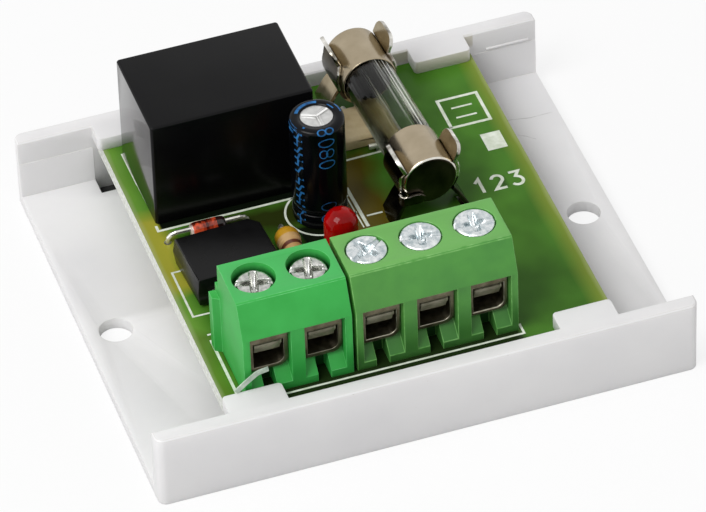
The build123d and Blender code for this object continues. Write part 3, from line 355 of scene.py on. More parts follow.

# Parts of the board with a colour of their own, and fields of painted shade, each laid over the
# ones before it: middle along x and y, half sizes, softness of the edge and colour
BOARD_FIELDS = (
    # The gap between the copper fields, under the fuse
    (1.4, 3.0, 3.0, 6.8, 0.9, "#54490D"),
    # The left margin, and its middle where nothing lies behind the mask
    (-17.2, 6.0, 0.7, 14.0, 0.9, "#528C30"),
    (-16.9, 2.8, 1.3, 5.2, 0.9, "#9A9632"),
    # Painted shade between the rectifier and the relay, then darker painted shade at the relay's foot
    (-7.5, 3.9, 6.0, 1.8, 0.9, "#28310F"),
    (-9.3, 6.6, 6.7, 0.68, 0.12, "#0C120A"),
    # Painted shade at the foot of the capacitor
    (-2.6, 0.5, 2.0, 1.35, 0.3, "#10160A"),
    # Painted shade over the board under and in front of the terminal blocks
    (-3.0, -15.2, 12.8, 5.0, 0.3, "#1D2C12"),
    # A smudge on the free part
    (15.1, 1.3, 0.3, 0.7, 0.4, "#12160C"),
)


def board_mask():
    """Solder mask over glass-fibre laminate. Over copper it is green. Where the laminate has no
    copper behind it, along the sawn edges and in the gap between the copper fields, light passes
    through and it turns olive and yellow. Shade is painted in as dark fields between the rectifier
    and the relay, at the feet of the relay and the capacitor, and along the front under and before
    the terminal blocks. The sawn edges show the bare fibre."""
    material, tree, shader, mm = finish("green_solder_mask", "#3D6A22", 0.26, Specular_IOR_Level=0.1)
    spot = add(tree, "SeparateXYZ", (mm,)).outputs
    drift = add(tree, "TexNoise", {"Vector": mm, "Scale": 0.22, "Detail": 2.0})
    warp = add(tree, "Math", (drift, 0.5), operation="SUBTRACT")
    warp = add(tree, "Math", (warp, 3.0), operation="MULTIPLY")
    cloud = add(tree, "ValToRGB", (drift,), [(0.35, "#3A651B"), (0.7, "#487A25")])
    feed(tree, shader, {"Base Color": cloud})
    for x, y, half_x, half_y, soft, colour in BOARD_FIELDS:
        sides = past(tree, spot["X"], x, half_x), past(tree, spot["Y"], y, half_y)
        outside = add(tree, "Math", sides, operation="MAXIMUM")
        wandering = add(tree, "Math", (warp, soft, outside), operation="MULTIPLY_ADD")
        tinted(tree, shader, add(tree, "MapRange", (wandering, soft, -soft)), colour)
    beyond = past(tree, spot["X"], board_centre[0], board_size[0] / 2)
    wander = add(tree, "Math", (warp, 0.15), operation="MULTIPLY")
    from_edge = add(tree, "Math", (wander, beyond), operation="SUBTRACT")
    near = add(tree, "MapRange", (from_edge, 1.9, 0.2))
    rightwards = add(tree, "MapRange", (spot["X"], -40.0, 20.0))
    tinted(tree, shader, all_of(tree, near, rightwards, 0.8), "#808C34")
    rim = add(tree, "MapRange", (from_edge, 0.45, 0.1))
    tinted(tree, shader, all_of(tree, rim, 0.35), "#A3AC80")
    facing = facing_parts(tree)
    level = add(tree, "Math", (facing["Z"],), operation="ABSOLUTE")
    fibre = add(tree, "TexNoise", {"Vector": mm, "Scale": 3.0, "Detail": 4.0})
    sawn = add(tree, "ValToRGB", (fibre,), [(0.35, "#BFC2B8"), (0.65, "#E2E4DE")])
    tinted(tree, shader, add(tree, "Math", (level, 0.5), operation="LESS_THAN"), sawn)
    return material


solder_mask = board_mask()

# Silkscreen ink: flat off-white, thin enough that the mask tints it.
white_ink = worn("white_silkscreen_ink", "#D4DACB", 0.6, 0.0, 0.6, ("#C3CCB8", "#E2E7DC"))

# Relay case: black PBT with a faint haze; its two polished short sides are painted lighter as sheen.
relay_black = worn(
    "black_pbt_case", "#0A0A0C", 0.24, 0.0, 5.0, ("#050506", "#0A0A0B"), 0.002, (0.2, 0.3),
    Specular_IOR_Level=0.13,
)
polished_black = worn(
    "polished_pbt_side_painted_sheen", "#0A0A0C", 0.1, 0.0, 5.0, ("#0C0B0C", "#161416"), 0.001, (0.06, 0.14),
    Specular_IOR_Level=0.6,
)

# Epoxy moulding compound of the rectifier: black, finely matt.
epoxy_black = worn(
    "black_epoxy_moulding", "#0C0C0D", 0.38, 0.0, 2.0, ("#050505", "#0B0B0C"), 0.01, (0.22, 0.36),
    Specular_IOR_Level=0.2,
)


def moulded_housing(name, node, greens, shaded, wear_and_painted_light, ways, foot):
    """Polyamide of a terminal block: saturated green, slightly waxy, with a fine grain. Its level
    top is painted paler as a highlight from the light above, and shade is painted darker down the
    screws' wells and towards its foot. A well is where x^2 + y^2 from its screw is under the well's radius
    squared."""
    material, tree, shader, mm = finish(name, greens[1], 0.42, Specular_IOR_Level=0.3)
    wear(tree, shader, mm, 3.0, greens, 0.008, (0.38, 0.5))
    spot = add(tree, "SeparateXYZ", (mm,)).outputs
    facing = facing_parts(tree)
    top = float(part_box(node)[1][2] / MM)
    # Painted highlight on the level top
    level = add(tree, "MapRange", (facing["Z"], 0.9, 0.98))
    crown = add(tree, "MapRange", (spot["Z"], top - 0.4, top - 0.2))
    tinted(tree, shader, all_of(tree, level, crown, 0.8), wear_and_painted_light)
    # Painted shade down the screws' wells
    nearest = FAR
    for way in ways:
        apart = [
            add(tree, "Math", (spot[axis], float(centre)), operation="SUBTRACT")
            for axis, centre in zip("XY", span(f"clamp_screw_{way}")[0])
        ]
        squares = [add(tree, "Math", (side, 2.0), operation="POWER") for side in apart]
        square = add(tree, "Math", squares, operation="ADD")
        nearest = add(tree, "Math", (nearest, square), operation="MINIMUM")
    well = add(tree, "Math", (nearest, WELL_RADIUS**2), operation="LESS_THAN")
    deep = add(tree, "MapRange", (spot["Z"], top - 0.2, top - 1.1))
    tinted(tree, shader, all_of(tree, well, deep, 0.9), shaded)
    # Painted shade towards the foot
    low = add(tree, "MapRange", (spot["Z"], BOARD_TOP + 5.5, BOARD_TOP + 2.0))
    tinted(tree, shader, all_of(tree, low, foot), shaded)
    return material


green_bright = moulded_housing(
    "bright_green_polyamide",
    "terminal_2way_housing",
    ("#2E9C3F", "#38A84A"),
    "#082A10",
    "#46AC5A",
    (1, 2),
    0.05,
)
green_dull = moulded_housing(
    "dull_green_polyamide",
    "terminal_3way_housing",
    ("#45843A", "#529540"),
    "#183F18",
    "#6CA858",
    (3, 4, 5),
    0.36,
)
# Edge finishes of the terminal housings: paler with wear, and with a highlight painted along the rounded
# edges.
pale_green = worn(
    "bright_green_edge_wear_and_painted_highlight", "#7CCB86", 0.5, 0.0, 0.7, ("#38A64A", "#6CC67A"), Specular_IOR_Level=0.3
)
pale_dull_green = worn(
    "dull_green_edge_wear_and_painted_highlight", "#86BC72", 0.5, 0.0, 0.7, ("#50913F", "#7DB56A"), Specular_IOR_Level=0.3
)
# Flash that the mould left at the two-way block: thin and milky.
milky = worn(
    "milky_flash", "#B7C9B8", 0.6, 0.0, 0.8, ("#A3B8A6", "#D3DFD2"), Transmission_Weight=0.2
)

# Zinc plating: bright and streaked, with a blue passivation on the three-way block's screws.
zinc = worn("bright_zinc", "#C6C8C6", 0.22, 1.0, 0.45, ("#9A9C98", "#D4D4CF"), 0.02, (0.12, 0.36))
blue_zinc = worn(
    "blue_passivated_zinc", "#C4CACC", 0.24, 1.0, 0.5, ("#A5B2B6", "#EAECEC"), 0.025, (0.14, 0.4)
)

# Folded steel strip of the clamp cages: nickel-plated, brownish, dull.
cage_steel = worn(
    "nickelled_cage_strip", "#8E8478", 0.34, 1.0, 0.8, ("#56503F", "#7D7663"), 0.01, (0.3, 0.48)
)
# The cages' rounded edges carry a painted highlight.
cage_edge = worn(
    "cage_edge_painted_highlight", "#BDB9B0", 0.3, 1.0, 0.5, ("#86826F", "#B4B1A2"), 0.006, (0.28, 0.42)
)

# Tinned strip of the contact bars: dull, half hidden under oxide.
bar_strip = worn("dull_tinned_bar", "#7C7866", 0.42, 0.5, 0.8, ("#6E6A58", "#928E7C"), 0.01, (0.36, 0.5))

# Tinned copper leads: soft white metal, dull.
tinned = worn("tinned_copper", "#DEDDD6", 0.34, 1.0, 0.5, ("#CFCDC4", "#F2F1EC"), 0.006, (0.28, 0.44))

# Drawn aluminium of the can, seen only at its vent.
aluminium = worn("drawn_aluminium", "#C6C6C4", 0.4, 0.8, 0.5, ("#BCBCBA", "#D2D2D0"), 0.004, (0.34, 0.5))
# A painted highlight along the vent's score burrs.
score_highlight = worn("score_line_painted_highlight", "#F2F2F0", 0.5, 0.3, 0.3, ("#E4E4E2", "#F8F8F6"))

# Red epoxy of the indicator, cast: glossy and deeply coloured.
red_epoxy = worn(
    "clear_red_epoxy", "#A00506", 0.03, 0.0, 2.0, ("#7E0203", "#B00506"),
    Transmission_Weight=0.08, Specular_IOR_Level=0.13,
)

# Nickel plating of the fuse caps: warm, rubbed dull along its length; the inside and the end
# face are painted dark as shade and dark reflection, and the rim painted bright as a highlight.
nickel_cap = worn(
    "nickelled_brass_cap", "#A99C86", 0.24, 1.0, 2.4, ("#9C8F78", "#B0A38C"), 0.004, (0.18, 0.32)
)
cap_inside = worn(
    "cap_metal_painted_dark", "#4A443A", 0.3, 1.0, 1.6, ("#2A2520", "#463F34"), 0.004, (0.22, 0.4)
)
cap_rim = worn("cap_rim_painted_highlight", "#DEDAD0", 0.2, 1.0, 1.2, ("#C8C2B4", "#EAE8E2"), 0.0, (0.14, 0.28))

# Spring brass of the clips: nickel-plated and bright inside; the outer skin is painted dark as
# shade and dark reflection, and the sheared edges are painted bright as highlights.
clip_nickel = worn(
    "nickelled_spring_brass", "#A39A88", 0.2, 1.0, 1.5, ("#8C8067", "#B0A48A"), 0.006, (0.14, 0.34)
)
clip_dark = worn(
    "spring_brass_painted_dark", "#3A362E", 0.22, 1.0, 1.5, ("#221F1A", "#4E483D"), 0.006, (0.14, 0.34)
)
clip_edge = worn(
    "sheared_edge_painted_highlight", "#D9D6CE", 0.22, 1.0, 1.3, ("#6E675A", "#F0EEE8"), 0.0, (0.16, 0.3)
)


def drawn_glass():
    """Soda-lime glass of the fuse tube: drawn, so faint ridges run along it and catch the light.
    Bright reflection streaks are painted on its upper right side, where the glass is also made less
    clear, and a dark reflection is painted along its left edge. Its patterns are laid straight along
    the fuse by turning the coordinates back."""
    material, tree, shader, mm = finish(
        "soda_lime_glass", "#E6ECE6", 0.02, Transmission_Weight=1.0, IOR=1.12, Coat_Weight=0.25
    )
    wear(tree, shader, mm, 4.0, ("#D6D8CC", "#E8EAE0"))
    turn = math.radians(FUSE_TURN)
    straight = add(tree, "Mapping", {"Vector": mm, "Rotation": (0, 0, -turn)})
    lines = add(tree, "Mapping", {"Vector": straight, "Scale": (1.6, 0.03, 1.6)})
    ridge = add(tree, "TexNoise", {"Vector": lines, "Scale": 1.0, "Detail": 3.0})
    ripple = add(tree, "Bump", {"Height": ridge, "Distance": 0.3 * MM, "Strength": 0.6})
    lines = add(tree, "Mapping", {"Vector": straight, "Scale": (3.2, 0.05, 3.2)})
    streak_grain = add(tree, "TexNoise", {"Vector": lines, "Scale": 1.0, "Detail": 2.0})
    spot = add(tree, "SeparateXYZ", (straight,)).outputs
    axis_x = float(fuse_centre[0] * math.cos(turn) + fuse_centre[1] * math.sin(turn))
    axis_z = float(fuse_centre[2])
    # Painted bright reflection streaks on the upper right side
    painted_streaks = all_of(
        tree,
        add(tree, "MapRange", (streak_grain, 0.54, 0.7)),
        add(tree, "MapRange", (spot["X"], axis_x - 0.1, axis_x + 0.8)),
        add(tree, "MapRange", (spot["Z"], axis_z - 0.2, axis_z + 0.3)),
    )
    tinted(tree, shader, painted_streaks, "#F4F6EE")
    # Painted dark reflection along the left edge
    edge = add(tree, "MapRange", (spot["X"], axis_x - 1.5, axis_x - 2.35))
    tinted(tree, shader, edge, "#4A4E42")
    clear = add(tree, "Math", (1.0, all_of(tree, painted_streaks, 0.7)), operation="SUBTRACT")
    feed(tree, shader, {"Normal": ripple, "Coat Normal": ripple, "Transmission Weight": clear})
    return material


clear_glass = drawn_glass()

# Tan dipped coating.
tan_dip = worn("tan_dipped_coating", "#C9B58A", 0.42, 0.0, 1.2, ("#C4AE84", "#D8C6A2"), 0.02, (0.35, 0.5))

# Resistor lacquer: tan, with colour bands printed round it from front to rear.
lacquer, tree, shader, mm = finish("banded_tan_lacquer", "#C8A468", 0.28)
banded(
    tree,
    shader,
    add(tree, "SeparateXYZ", (mm,)).outputs["Y"],
    resistor_centre[1],
    resistor_size[1],
    [
        (0.0, "#B08A55"),
        (0.10, "#6E351C"),
        (0.20, "#B58F5C"),
        (0.36, "#2A211C"),
        (0.44, "#B58F5C"),
        (0.60, "#5E3222"),
        (0.67, "#BC9866"),
        (0.80, "#B98A1E"),
    ],
)

# Glass of the small diode: orange, ringed by the metal seal at the left and a dark band at
# the cathode end.
orange_glass, tree, shader, mm = finish("orange_diode_glass", "#D2502A", 0.07, Specular_IOR_Level=0.5)
spot = add(tree, "SeparateXYZ", (mm,)).outputs
banded(
    tree,
    shader,
    spot["X"],
    diode_centre[0],
    diode_size[0],
    [
        (0.0, "#C9B6AC"),
        (0.06, "#D8532F"),
        (0.34, "#BE3F20"),
        (0.42, "#5E1A10"),
        (0.5, "#A23820"),
        (0.62, "#C94A2A"),
        (0.74, "#120D0D"),
    ],
)
# The upper half is darker, unevenly.
crest = float(diode_centre[2])
cloud = add(tree, "TexNoise", {"Vector": mm, "Scale": 2.2, "Detail": 2.0})
upper = add(tree, "MapRange", (spot["Z"], crest - 0.05, crest + 0.5))
tinted(tree, shader, all_of(tree, upper, add(tree, "MapRange", (cloud, 0.35, 0.6))), "#2A0D08")

# Sleeve film of the capacitor: near-black, glossy, shrunk on; and the blue ink on it.
sleeve = worn(
    "black_shrunk_sleeve", "#050608", 0.18, 0.0, 3.0, ("#030406", "#07080C"), 0.006, (0.12, 0.24),
    Specular_IOR_Level=0.13,
)
blue_ink = worn(
    "blue_sleeve_ink", "#1F5C96", 0.4, 0.0, 0.45, ("#12406E", "#2C78B8"), Specular_IOR_Level=0.2
)
faint_ink = worn(
    "faint_blue_sleeve_ink", "#173E66", 0.4, 0.0, 0.45, ("#0B2440", "#22568A"), Specular_IOR_Level=0.2
)

# Soft solder: bright, rounded by its own surface.
solder = worn("soft_solder", "#C8C8C4", 0.25, 1.0, 0.6, ("#B0B0AC", "#DADAD6"), 0.01)

# Inside parts, each in its usual finish.
nylon = worn("natural_nylon", "#D9D4C2", 0.5, 0.0, 2.0, ("#D2CCB8", "#E0DCCC"))
iron = worn("zinc_plated_iron", "#B4B4B0", 0.35, 1.0, 1.5, ("#A2A29E", "#C4C4C0"))
bronze = worn("contact_bronze", "#C29A5E", 0.3, 1.0, 1.0, ("#B48C50", "#D0AA70"))
rubber = worn("black_rubber", "#1A1A1A", 0.7, 0.0, 1.0, ("#151515", "#202020"))
foil = worn("paper_and_foil_roll", "#B8A888", 0.6, 0.0, 1.0, ("#A89878", "#C8B898"))
winding, tree, shader, mm = finish("enamelled_copper_winding", "#A5502A", 0.3, 0.8)
wires = add(tree, "TexWave", {"Vector": mm, "Scale": 4.0}, bands_direction="X")
feed(tree, shader, {"Base Color": add(tree, "ValToRGB", (wires,), [(0.2, "#7C3418"), (0.8, "#C06A3A")])})

for material, *names in (
    (white_abs, "base_tray"),
    (solder_mask, "circuit_board"),
    (solder, "solder_joints"),
    (relay_black, "relay_cover", "relay_base"),
    (nylon, "relay_bobbin"),
    (winding, "relay_coil"),
    (iron, "relay_core", "relay_yoke", "relay_armature"),
    (bronze, "relay_contact_blade", "relay_contact_closed", "relay_contact_open"),
    (green_bright, "terminal_2way_housing"),
    (green_dull, "terminal_3way_housing"),
    (bar_strip, "terminal_2way_plates", "terminal_3way_plates"),
    (cage_steel, *(f"clamp_cage_{way}" for way in range(1, 6))),
    (zinc, *(f"clamp_screw_{way}" for way in range(1, 6))),
    (aluminium, "capacitor_can"),
    (sleeve, "capacitor_sleeve"),
    (rubber, "capacitor_plug"),
    (foil, "capacitor_roll"),
    (epoxy_black, "bridge_body"),
    (orange_glass, "diode_body"),
    (lacquer, "resistor_body"),
    (red_epoxy, "led_lens"),
    (tan_dip, "flat_capacitor_body"),
    (clear_glass, "fuse_glass"),
    (nickel_cap, "fuse_cap_front", "fuse_cap_rear"),
    (clip_nickel, "fuse_clip_front", "fuse_clip_rear"),
    (tinned, "relay_coil_pins", "bridge_pins", "capacitor_leads", "diode_leads", "resistor_leads"),
    (tinned, "led_leads", "flat_capacitor_leads", "fuse_wire"),
):
    for name in names:
        slots = nodes[name].data.materials
        slots.clear()
        slots.append(material)


def dress(piece, material):
    """Gives a piece one more material."""
    piece.data.materials.append(material)


# Moulded and folded pieces, with the edges that their tools leave
# The tray's rounded edges take grime and painted shade.
softened("base_tray", "module", 0.12, abs_edge_grime_and_shade)
case = softened("relay_cover", "module", 0.22)
dress(case, polished_black)
# The faces that look along x are the two polished sides, painted a little lighter as sheen.
looks = np.zeros(len(case.data.polygons) * 3)
case.data.polygons.foreach_get("normal", looks)
case.data.polygons.foreach_set("material_index", (np.abs(looks[::3]) > 0.99).astype(int))
# The housings' rounded edges take wear and a painted highlight.
softened("terminal_2way_housing", "module", 0.1, pale_green)
softened("terminal_3way_housing", "module", 0.1, pale_dull_green)
softened("terminal_2way_plates", "module", 0.13)
softened("terminal_3way_plates", "module", 0.13)
softened("bridge_body", "module", 0.08)
softened("flat_capacitor_body", "module", 0.3)
# The cages' rounded edges take a painted highlight.
for way in range(1, 6):
    softened(f"clamp_cage_{way}", f"clamp_cage_{way}", 0.12, cage_edge)


# Clamp screws
THREAD_PITCH = 0.45
THREAD_CORE, THREAD_DEPTH = 1.02, 0.22


def clamp_screw(number):
    """A cheese-head screw as one closed surface: each row is a radius and a height from the
    blank end up to the middle of the head, and the columns go round. On the shank the radius
    is core + depth |2 frac(height / pitch - angle / 2 pi) - 1|. The top sinks by the deepest
    of a slot right across, S fall(|v|), and two cross arms, A (1 - (u / reach)^2) fall(|v|),
    where u and v run along and across the arm and fall(d) = 1 / (1 + exp((d - half width) /
    softness))."""
    node = f"clamp_screw_{number}"
    centre, size = span(node)
    in_two_way = number < 3
    radius = size[0] / 2 - (0.16 if in_two_way else 0)
    low, top = centre[2] - size[2] / 2, centre[2] + size[2] / 2
    seat = top - HEAD_THICKNESS[number - 1]
    heights = np.arange(low + 0.3, seat - 0.2, THREAD_PITCH / 6)
    head = [(1.15, seat), (radius - 0.1, seat), (radius, seat + 0.1), (radius, top - 0.3)]
    rim = [(radius - 0.03, top - 0.17), (radius - 0.1, top - 0.07), (radius - 0.2, top - 0.015)]
    face = np.append(radius - 0.28, np.linspace(radius - 0.34, 0.04, 32))
    rows = np.vstack(
        [
            [(0.0, low), (0.9, low), (1.05, low + 0.12)],
            np.stack([np.full(len(heights), THREAD_CORE), heights], -1),
            head,
            rim,
            np.stack([face, np.full(len(face), top)], -1),
            [(0.0, top)],
        ]
    )
    points, faces = turned(rows, (0, 0, 0), turns=FINE_ROUND)
    first = 2 * FINE_ROUND
    angle = np.arange(FINE_ROUND) * 2 * math.pi / FINE_ROUND
    climb = heights[:, None] / THREAD_PITCH - angle / (2 * math.pi)
    swell = 1 + THREAD_DEPTH / THREAD_CORE * np.abs(2 * (climb % 1) - 1)
    points[first : first + heights.size * FINE_ROUND, :2] *= swell.reshape(-1, 1)
    turn = math.radians(SCREW_TURNS[number - 1])
    u = points[:, 0] * math.cos(turn) + points[:, 1] * math.sin(turn)
    v = points[:, 1] * math.cos(turn) - points[:, 0] * math.sin(turn)

    def fall(distance, half):
        """1 inside half a width and 0 beyond it, with a soft flank."""
        return 1 / (1 + np.exp((np.abs(distance) - half) / 0.035))

    slot = 0.34 * fall(v, 0.25)
    deep, reach = (1.15, 1.5) if in_two_way else (0.85, 1.3)
    arms = [deep * np.clip(1 - (a / reach) ** 2, 0, 1) * fall(b, 0.27) for a, b in ((u, v), (v, u))]
    sunk = top - np.maximum(slot, np.maximum(*arms))
    above = points[:, 2] > seat + 0.4
    points[:, 2] = np.where(above, np.minimum(points[:, 2], sunk), points[:, 2])
    place = points + (*centre[:2], 0)
    dress(surface(f"{node}_turned", place, faces, node, node), zinc if in_two_way else blue_zinc)


for number in range(1, 6):
    clamp_screw(number)

# Capacitor: sleeve, vent and print. The outside of the sleeve rises from the low edge over
# the crimp and the shoulder; its inside is the same line set in by the wall.
crimp = CAN_LOW + 1.65
sleeve_outside = rounded(
    [
        (CAN_RADIUS - 0.5, CAN_LOW),
        (CAN_RADIUS, CAN_LOW),
        (CAN_RADIUS, crimp - 0.45),
        (CAN_RADIUS - 0.24, crimp),
        (CAN_RADIUS, crimp + 0.45),
        (CAN_RADIUS, CAN_HIGH - INK_LIFT),
        (VENT_RADIUS, CAN_HIGH - INK_LIFT),
    ],
    0.8,
    11,
)
sleeve_inside = [
    (VENT_RADIUS, CAN_HIGH - SLEEVE_WALL),
    (CAN_RADIUS - 0.6, CAN_HIGH - SLEEVE_WALL),
    (CAN_RADIUS - 0.39, CAN_HIGH - 0.6),
    (CAN_RADIUS - 0.39, CAN_LOW + 0.14),
    (CAN_RADIUS - 0.5, CAN_LOW + 0.14),
]
sleeve_section = np.vstack([sleeve_outside, sleeve_inside])
points, faces = turned(sleeve_section, (*can_centre[:2], 0), turns=LARGE_ROUND, ring=True)
dress(surface("capacitor_shrunk_sleeve", points, faces, "module", "capacitor_sleeve"), sleeve)


def capacitor_vent():
    """The can's top as a disc of rings: the height falls by D exp(-(d / w)^2) with the distance
    d from the nearest of three score lines that run out from the middle, and rises by the same
    law to a burr beside it."""
    rings = np.linspace(VENT_RADIUS + 0.02, 0.02, 26)
    rows = [(0, CAN_HIGH - 0.24), (VENT_RADIUS + 0.02, CAN_HIGH - 0.24)]
    rows += [(ring, CAN_HIGH - 0.1) for ring in rings] + [(0, CAN_HIGH - 0.1)]
    points, faces = turned(rows, (0, 0, 0), turns=FINE_ROUND)
    angles = np.radians([31, 151, 271])
    along = points[:, :1] * np.cos(angles) + points[:, 1:2] * np.sin(angles)
    across = points[:, 1:2] * np.cos(angles) - points[:, :1] * np.sin(angles)
    gap = np.where(along > -0.05, across, FAR)
    groove = np.exp(-((gap / 0.12) ** 2)).max(1)
    burr = np.exp(-(((gap - 0.24) / 0.1) ** 2)).max(1)
    inner = np.hypot(points[:, 0], points[:, 1]) < VENT_RADIUS - 0.1
    top = (points[:, 2] > CAN_HIGH - 0.2) & inner
    points[:, 2] += np.where(top, 0.08 * burr - 0.09 * groove, 0)
    dress(surface("capacitor_vent", points + (*can_centre[:2], 0), faces, "module"), aluminium)


capacitor_vent()

# Indicator: flange with its flat, barrel and dome
LED_FLANGE = led_size[1] / 2
dome = np.radians(np.linspace(0, 90, 18))
lens_profile = np.vstack(
    [
        [(0, LED_LOW), (LED_FLANGE - 0.05, LED_LOW), (LED_FLANGE, LED_LOW + 0.05)],
        [(LED_FLANGE, LED_LOW + 0.85), (LED_FLANGE - 0.05, LED_LOW + 0.9)],
        [(LED_RADIUS + 0.03, LED_LOW + 0.9), (LED_RADIUS, LED_LOW + 0.94)],
        np.stack([LED_RADIUS * np.cos(dome), LED_HIGH - LED_RADIUS * (1 - np.sin(dome))], -1),
    ]
)
# The cosine of a right angle is not quite 0.
lens_profile[-1, 0] = 0
points, faces = turned(lens_profile, (*led_axis[:2], 0), turns=72)
points[:, 0] = np.clip(points[:, 0], *(led_centre[0] + np.array([-0.5, 0.5]) * led_size[0]))
dress(surface("led_cast_lens", points, faces, "module", "led_lens"), red_epoxy)


# Fuse. Its pieces lie along one axis that is turned a little on the board.
def on_fuse_axis(distance):
    """The point of the fuse's axis that lies a distance behind its middle."""
    turn = math.radians(FUSE_TURN)
    return fuse_centre + distance * np.array([-math.sin(turn), math.cos(turn), 0])


glass_radius = FUSE_RADIUS - FUSE_CAP_WALL
half = FUSE_LENGTH / 2 - 0.3
tube = [
    (glass_radius - 0.08, -half),
    (glass_radius, -half + 0.08),
    (glass_radius, half - 0.08),
    (glass_radius - 0.08, half),
    (GLASS_BORE / 2 + 0.08, half),
    (GLASS_BORE / 2, half - 0.08),
    (GLASS_BORE / 2, -half + 0.08),
    (GLASS_BORE / 2 + 0.08, -half),
]
points, faces = turned(tube, fuse_centre, "Y", FUSE_TURN, turns=LARGE_ROUND, ring=True)
dress(surface("fuse_glass_tube", points, faces, "fuse", "fuse_glass"), clear_glass)

cup = rounded(
    [
        (0, FUSE_CAP_LENGTH / 2 - FUSE_CAP_WALL),
        (glass_radius + 0.01, FUSE_CAP_LENGTH / 2 - FUSE_CAP_WALL),
        (glass_radius + 0.01, -FUSE_CAP_LENGTH / 2),
        (FUSE_RADIUS, -FUSE_CAP_LENGTH / 2),
        (FUSE_RADIUS, FUSE_CAP_LENGTH / 2),
        (0, FUSE_CAP_LENGTH / 2),
    ],
    0.4,
    7,
)
# Which row of the lathe form each face starts from, then the floor inside and the end face.
# The inside and the end face are painted dark as shade and reflection, and the curve round the end is
# painted bright as a highlight.
last_row = len(cup) - 4
row = np.append(np.repeat(np.arange(last_row + 1), LARGE_ROUND), np.repeat([-1, FAR], LARGE_ROUND))
outer, rise = cup[1:-2][np.clip(row, 0, last_row).astype(int)].T
bore = glass_radius + 0.02
kind = np.where((rise > FUSE_CAP_LENGTH / 2 - 0.21) & (outer > bore), 2, (outer < bore).astype(int))
kind[(row < 0) | (row > last_row)] = 1
for node, way in (("fuse_cap_front", -1), ("fuse_cap_rear", 1)):
    middle = on_fuse_axis(way * (FUSE_LENGTH - FUSE_CAP_LENGTH) / 2)
    turn = FUSE_TURN + (180 if way < 0 else 0)
    points, faces = turned(cup, middle, "Y", turn, turns=LARGE_ROUND)
    piece = surface(f"{node}_drawn", points, faces, "fuse", node)
    for material in (nickel_cap, cap_inside, cap_rim):
        dress(piece, material)
    piece.data.polygons.foreach_set("material_index", kind)


# Spring clips
def outwards(piece):
    """Turns every face of a bent piece outwards and keeps its folds crisp."""
    work = bmesh.new()
    work.from_mesh(piece.data)
    bmesh.ops.recalc_face_normals(work, faces=work.faces)
    work.to_mesh(piece.data)
    work.free()
    piece.data.set_sharp_from_angle(angle=math.radians(FOLD_ANGLE))


def bent_strip(path, near, far, thickness):
    """Sheet bent along a path. At each path point it reaches from near to far across, and its
    two skins lie half the thickness to either side along the path's normal. The skins draw
    together at both rims. Gives path place and reach across for each point, the faces, and for
    each face 0 on the outer skin, 1 on the inner one and 2 on the sheared edge."""
    path = np.asarray(path, float)
    count = len(path)
    run = np.gradient(path, axis=0)
    run /= np.linalg.norm(run, axis=1)[:, None]
    normal = np.stack([run[:, 1], -run[:, 0]], -1)
    share = np.array([0, 0.02, 0.3, 0.7, 0.98, 1])[:, None]
    half = thickness / 2 * np.array([0.5, 1, 1, 1, 1, 0.5])[:, None, None]
    near, far = (np.broadcast_to(np.asarray(reach, float), count) for reach in (near, far))
    across = near + share * (far - near)
    outer, inner = path + half * normal, path - half * normal
    section = np.concatenate([outer, inner[:, ::-1]], 1)
    across = np.concatenate([across, across[:, ::-1]], 1)
    kind = np.repeat([[0] * count + [1] * count], 5, axis=0)
    kind[[0, -1]] = 2
    kind[:, [count - 1, 2 * count - 1]] = 2
    k = np.arange(count - 1)
    lid = np.stack([k, k + 1, 2 * count - 2 - k, 2 * count - 1 - k], -1)
    faces = grid_faces(6, 2 * count) + lid.tolist() + (lid + 5 * 2 * count).tolist()
    points = np.concatenate([section, across[..., None]], -1).reshape(-1, 3)
    return points, faces, np.append(kind.ravel(), np.full(2 * len(lid), 2))


CLIP_END, CLIP_STRIP = 10.08, 0.36


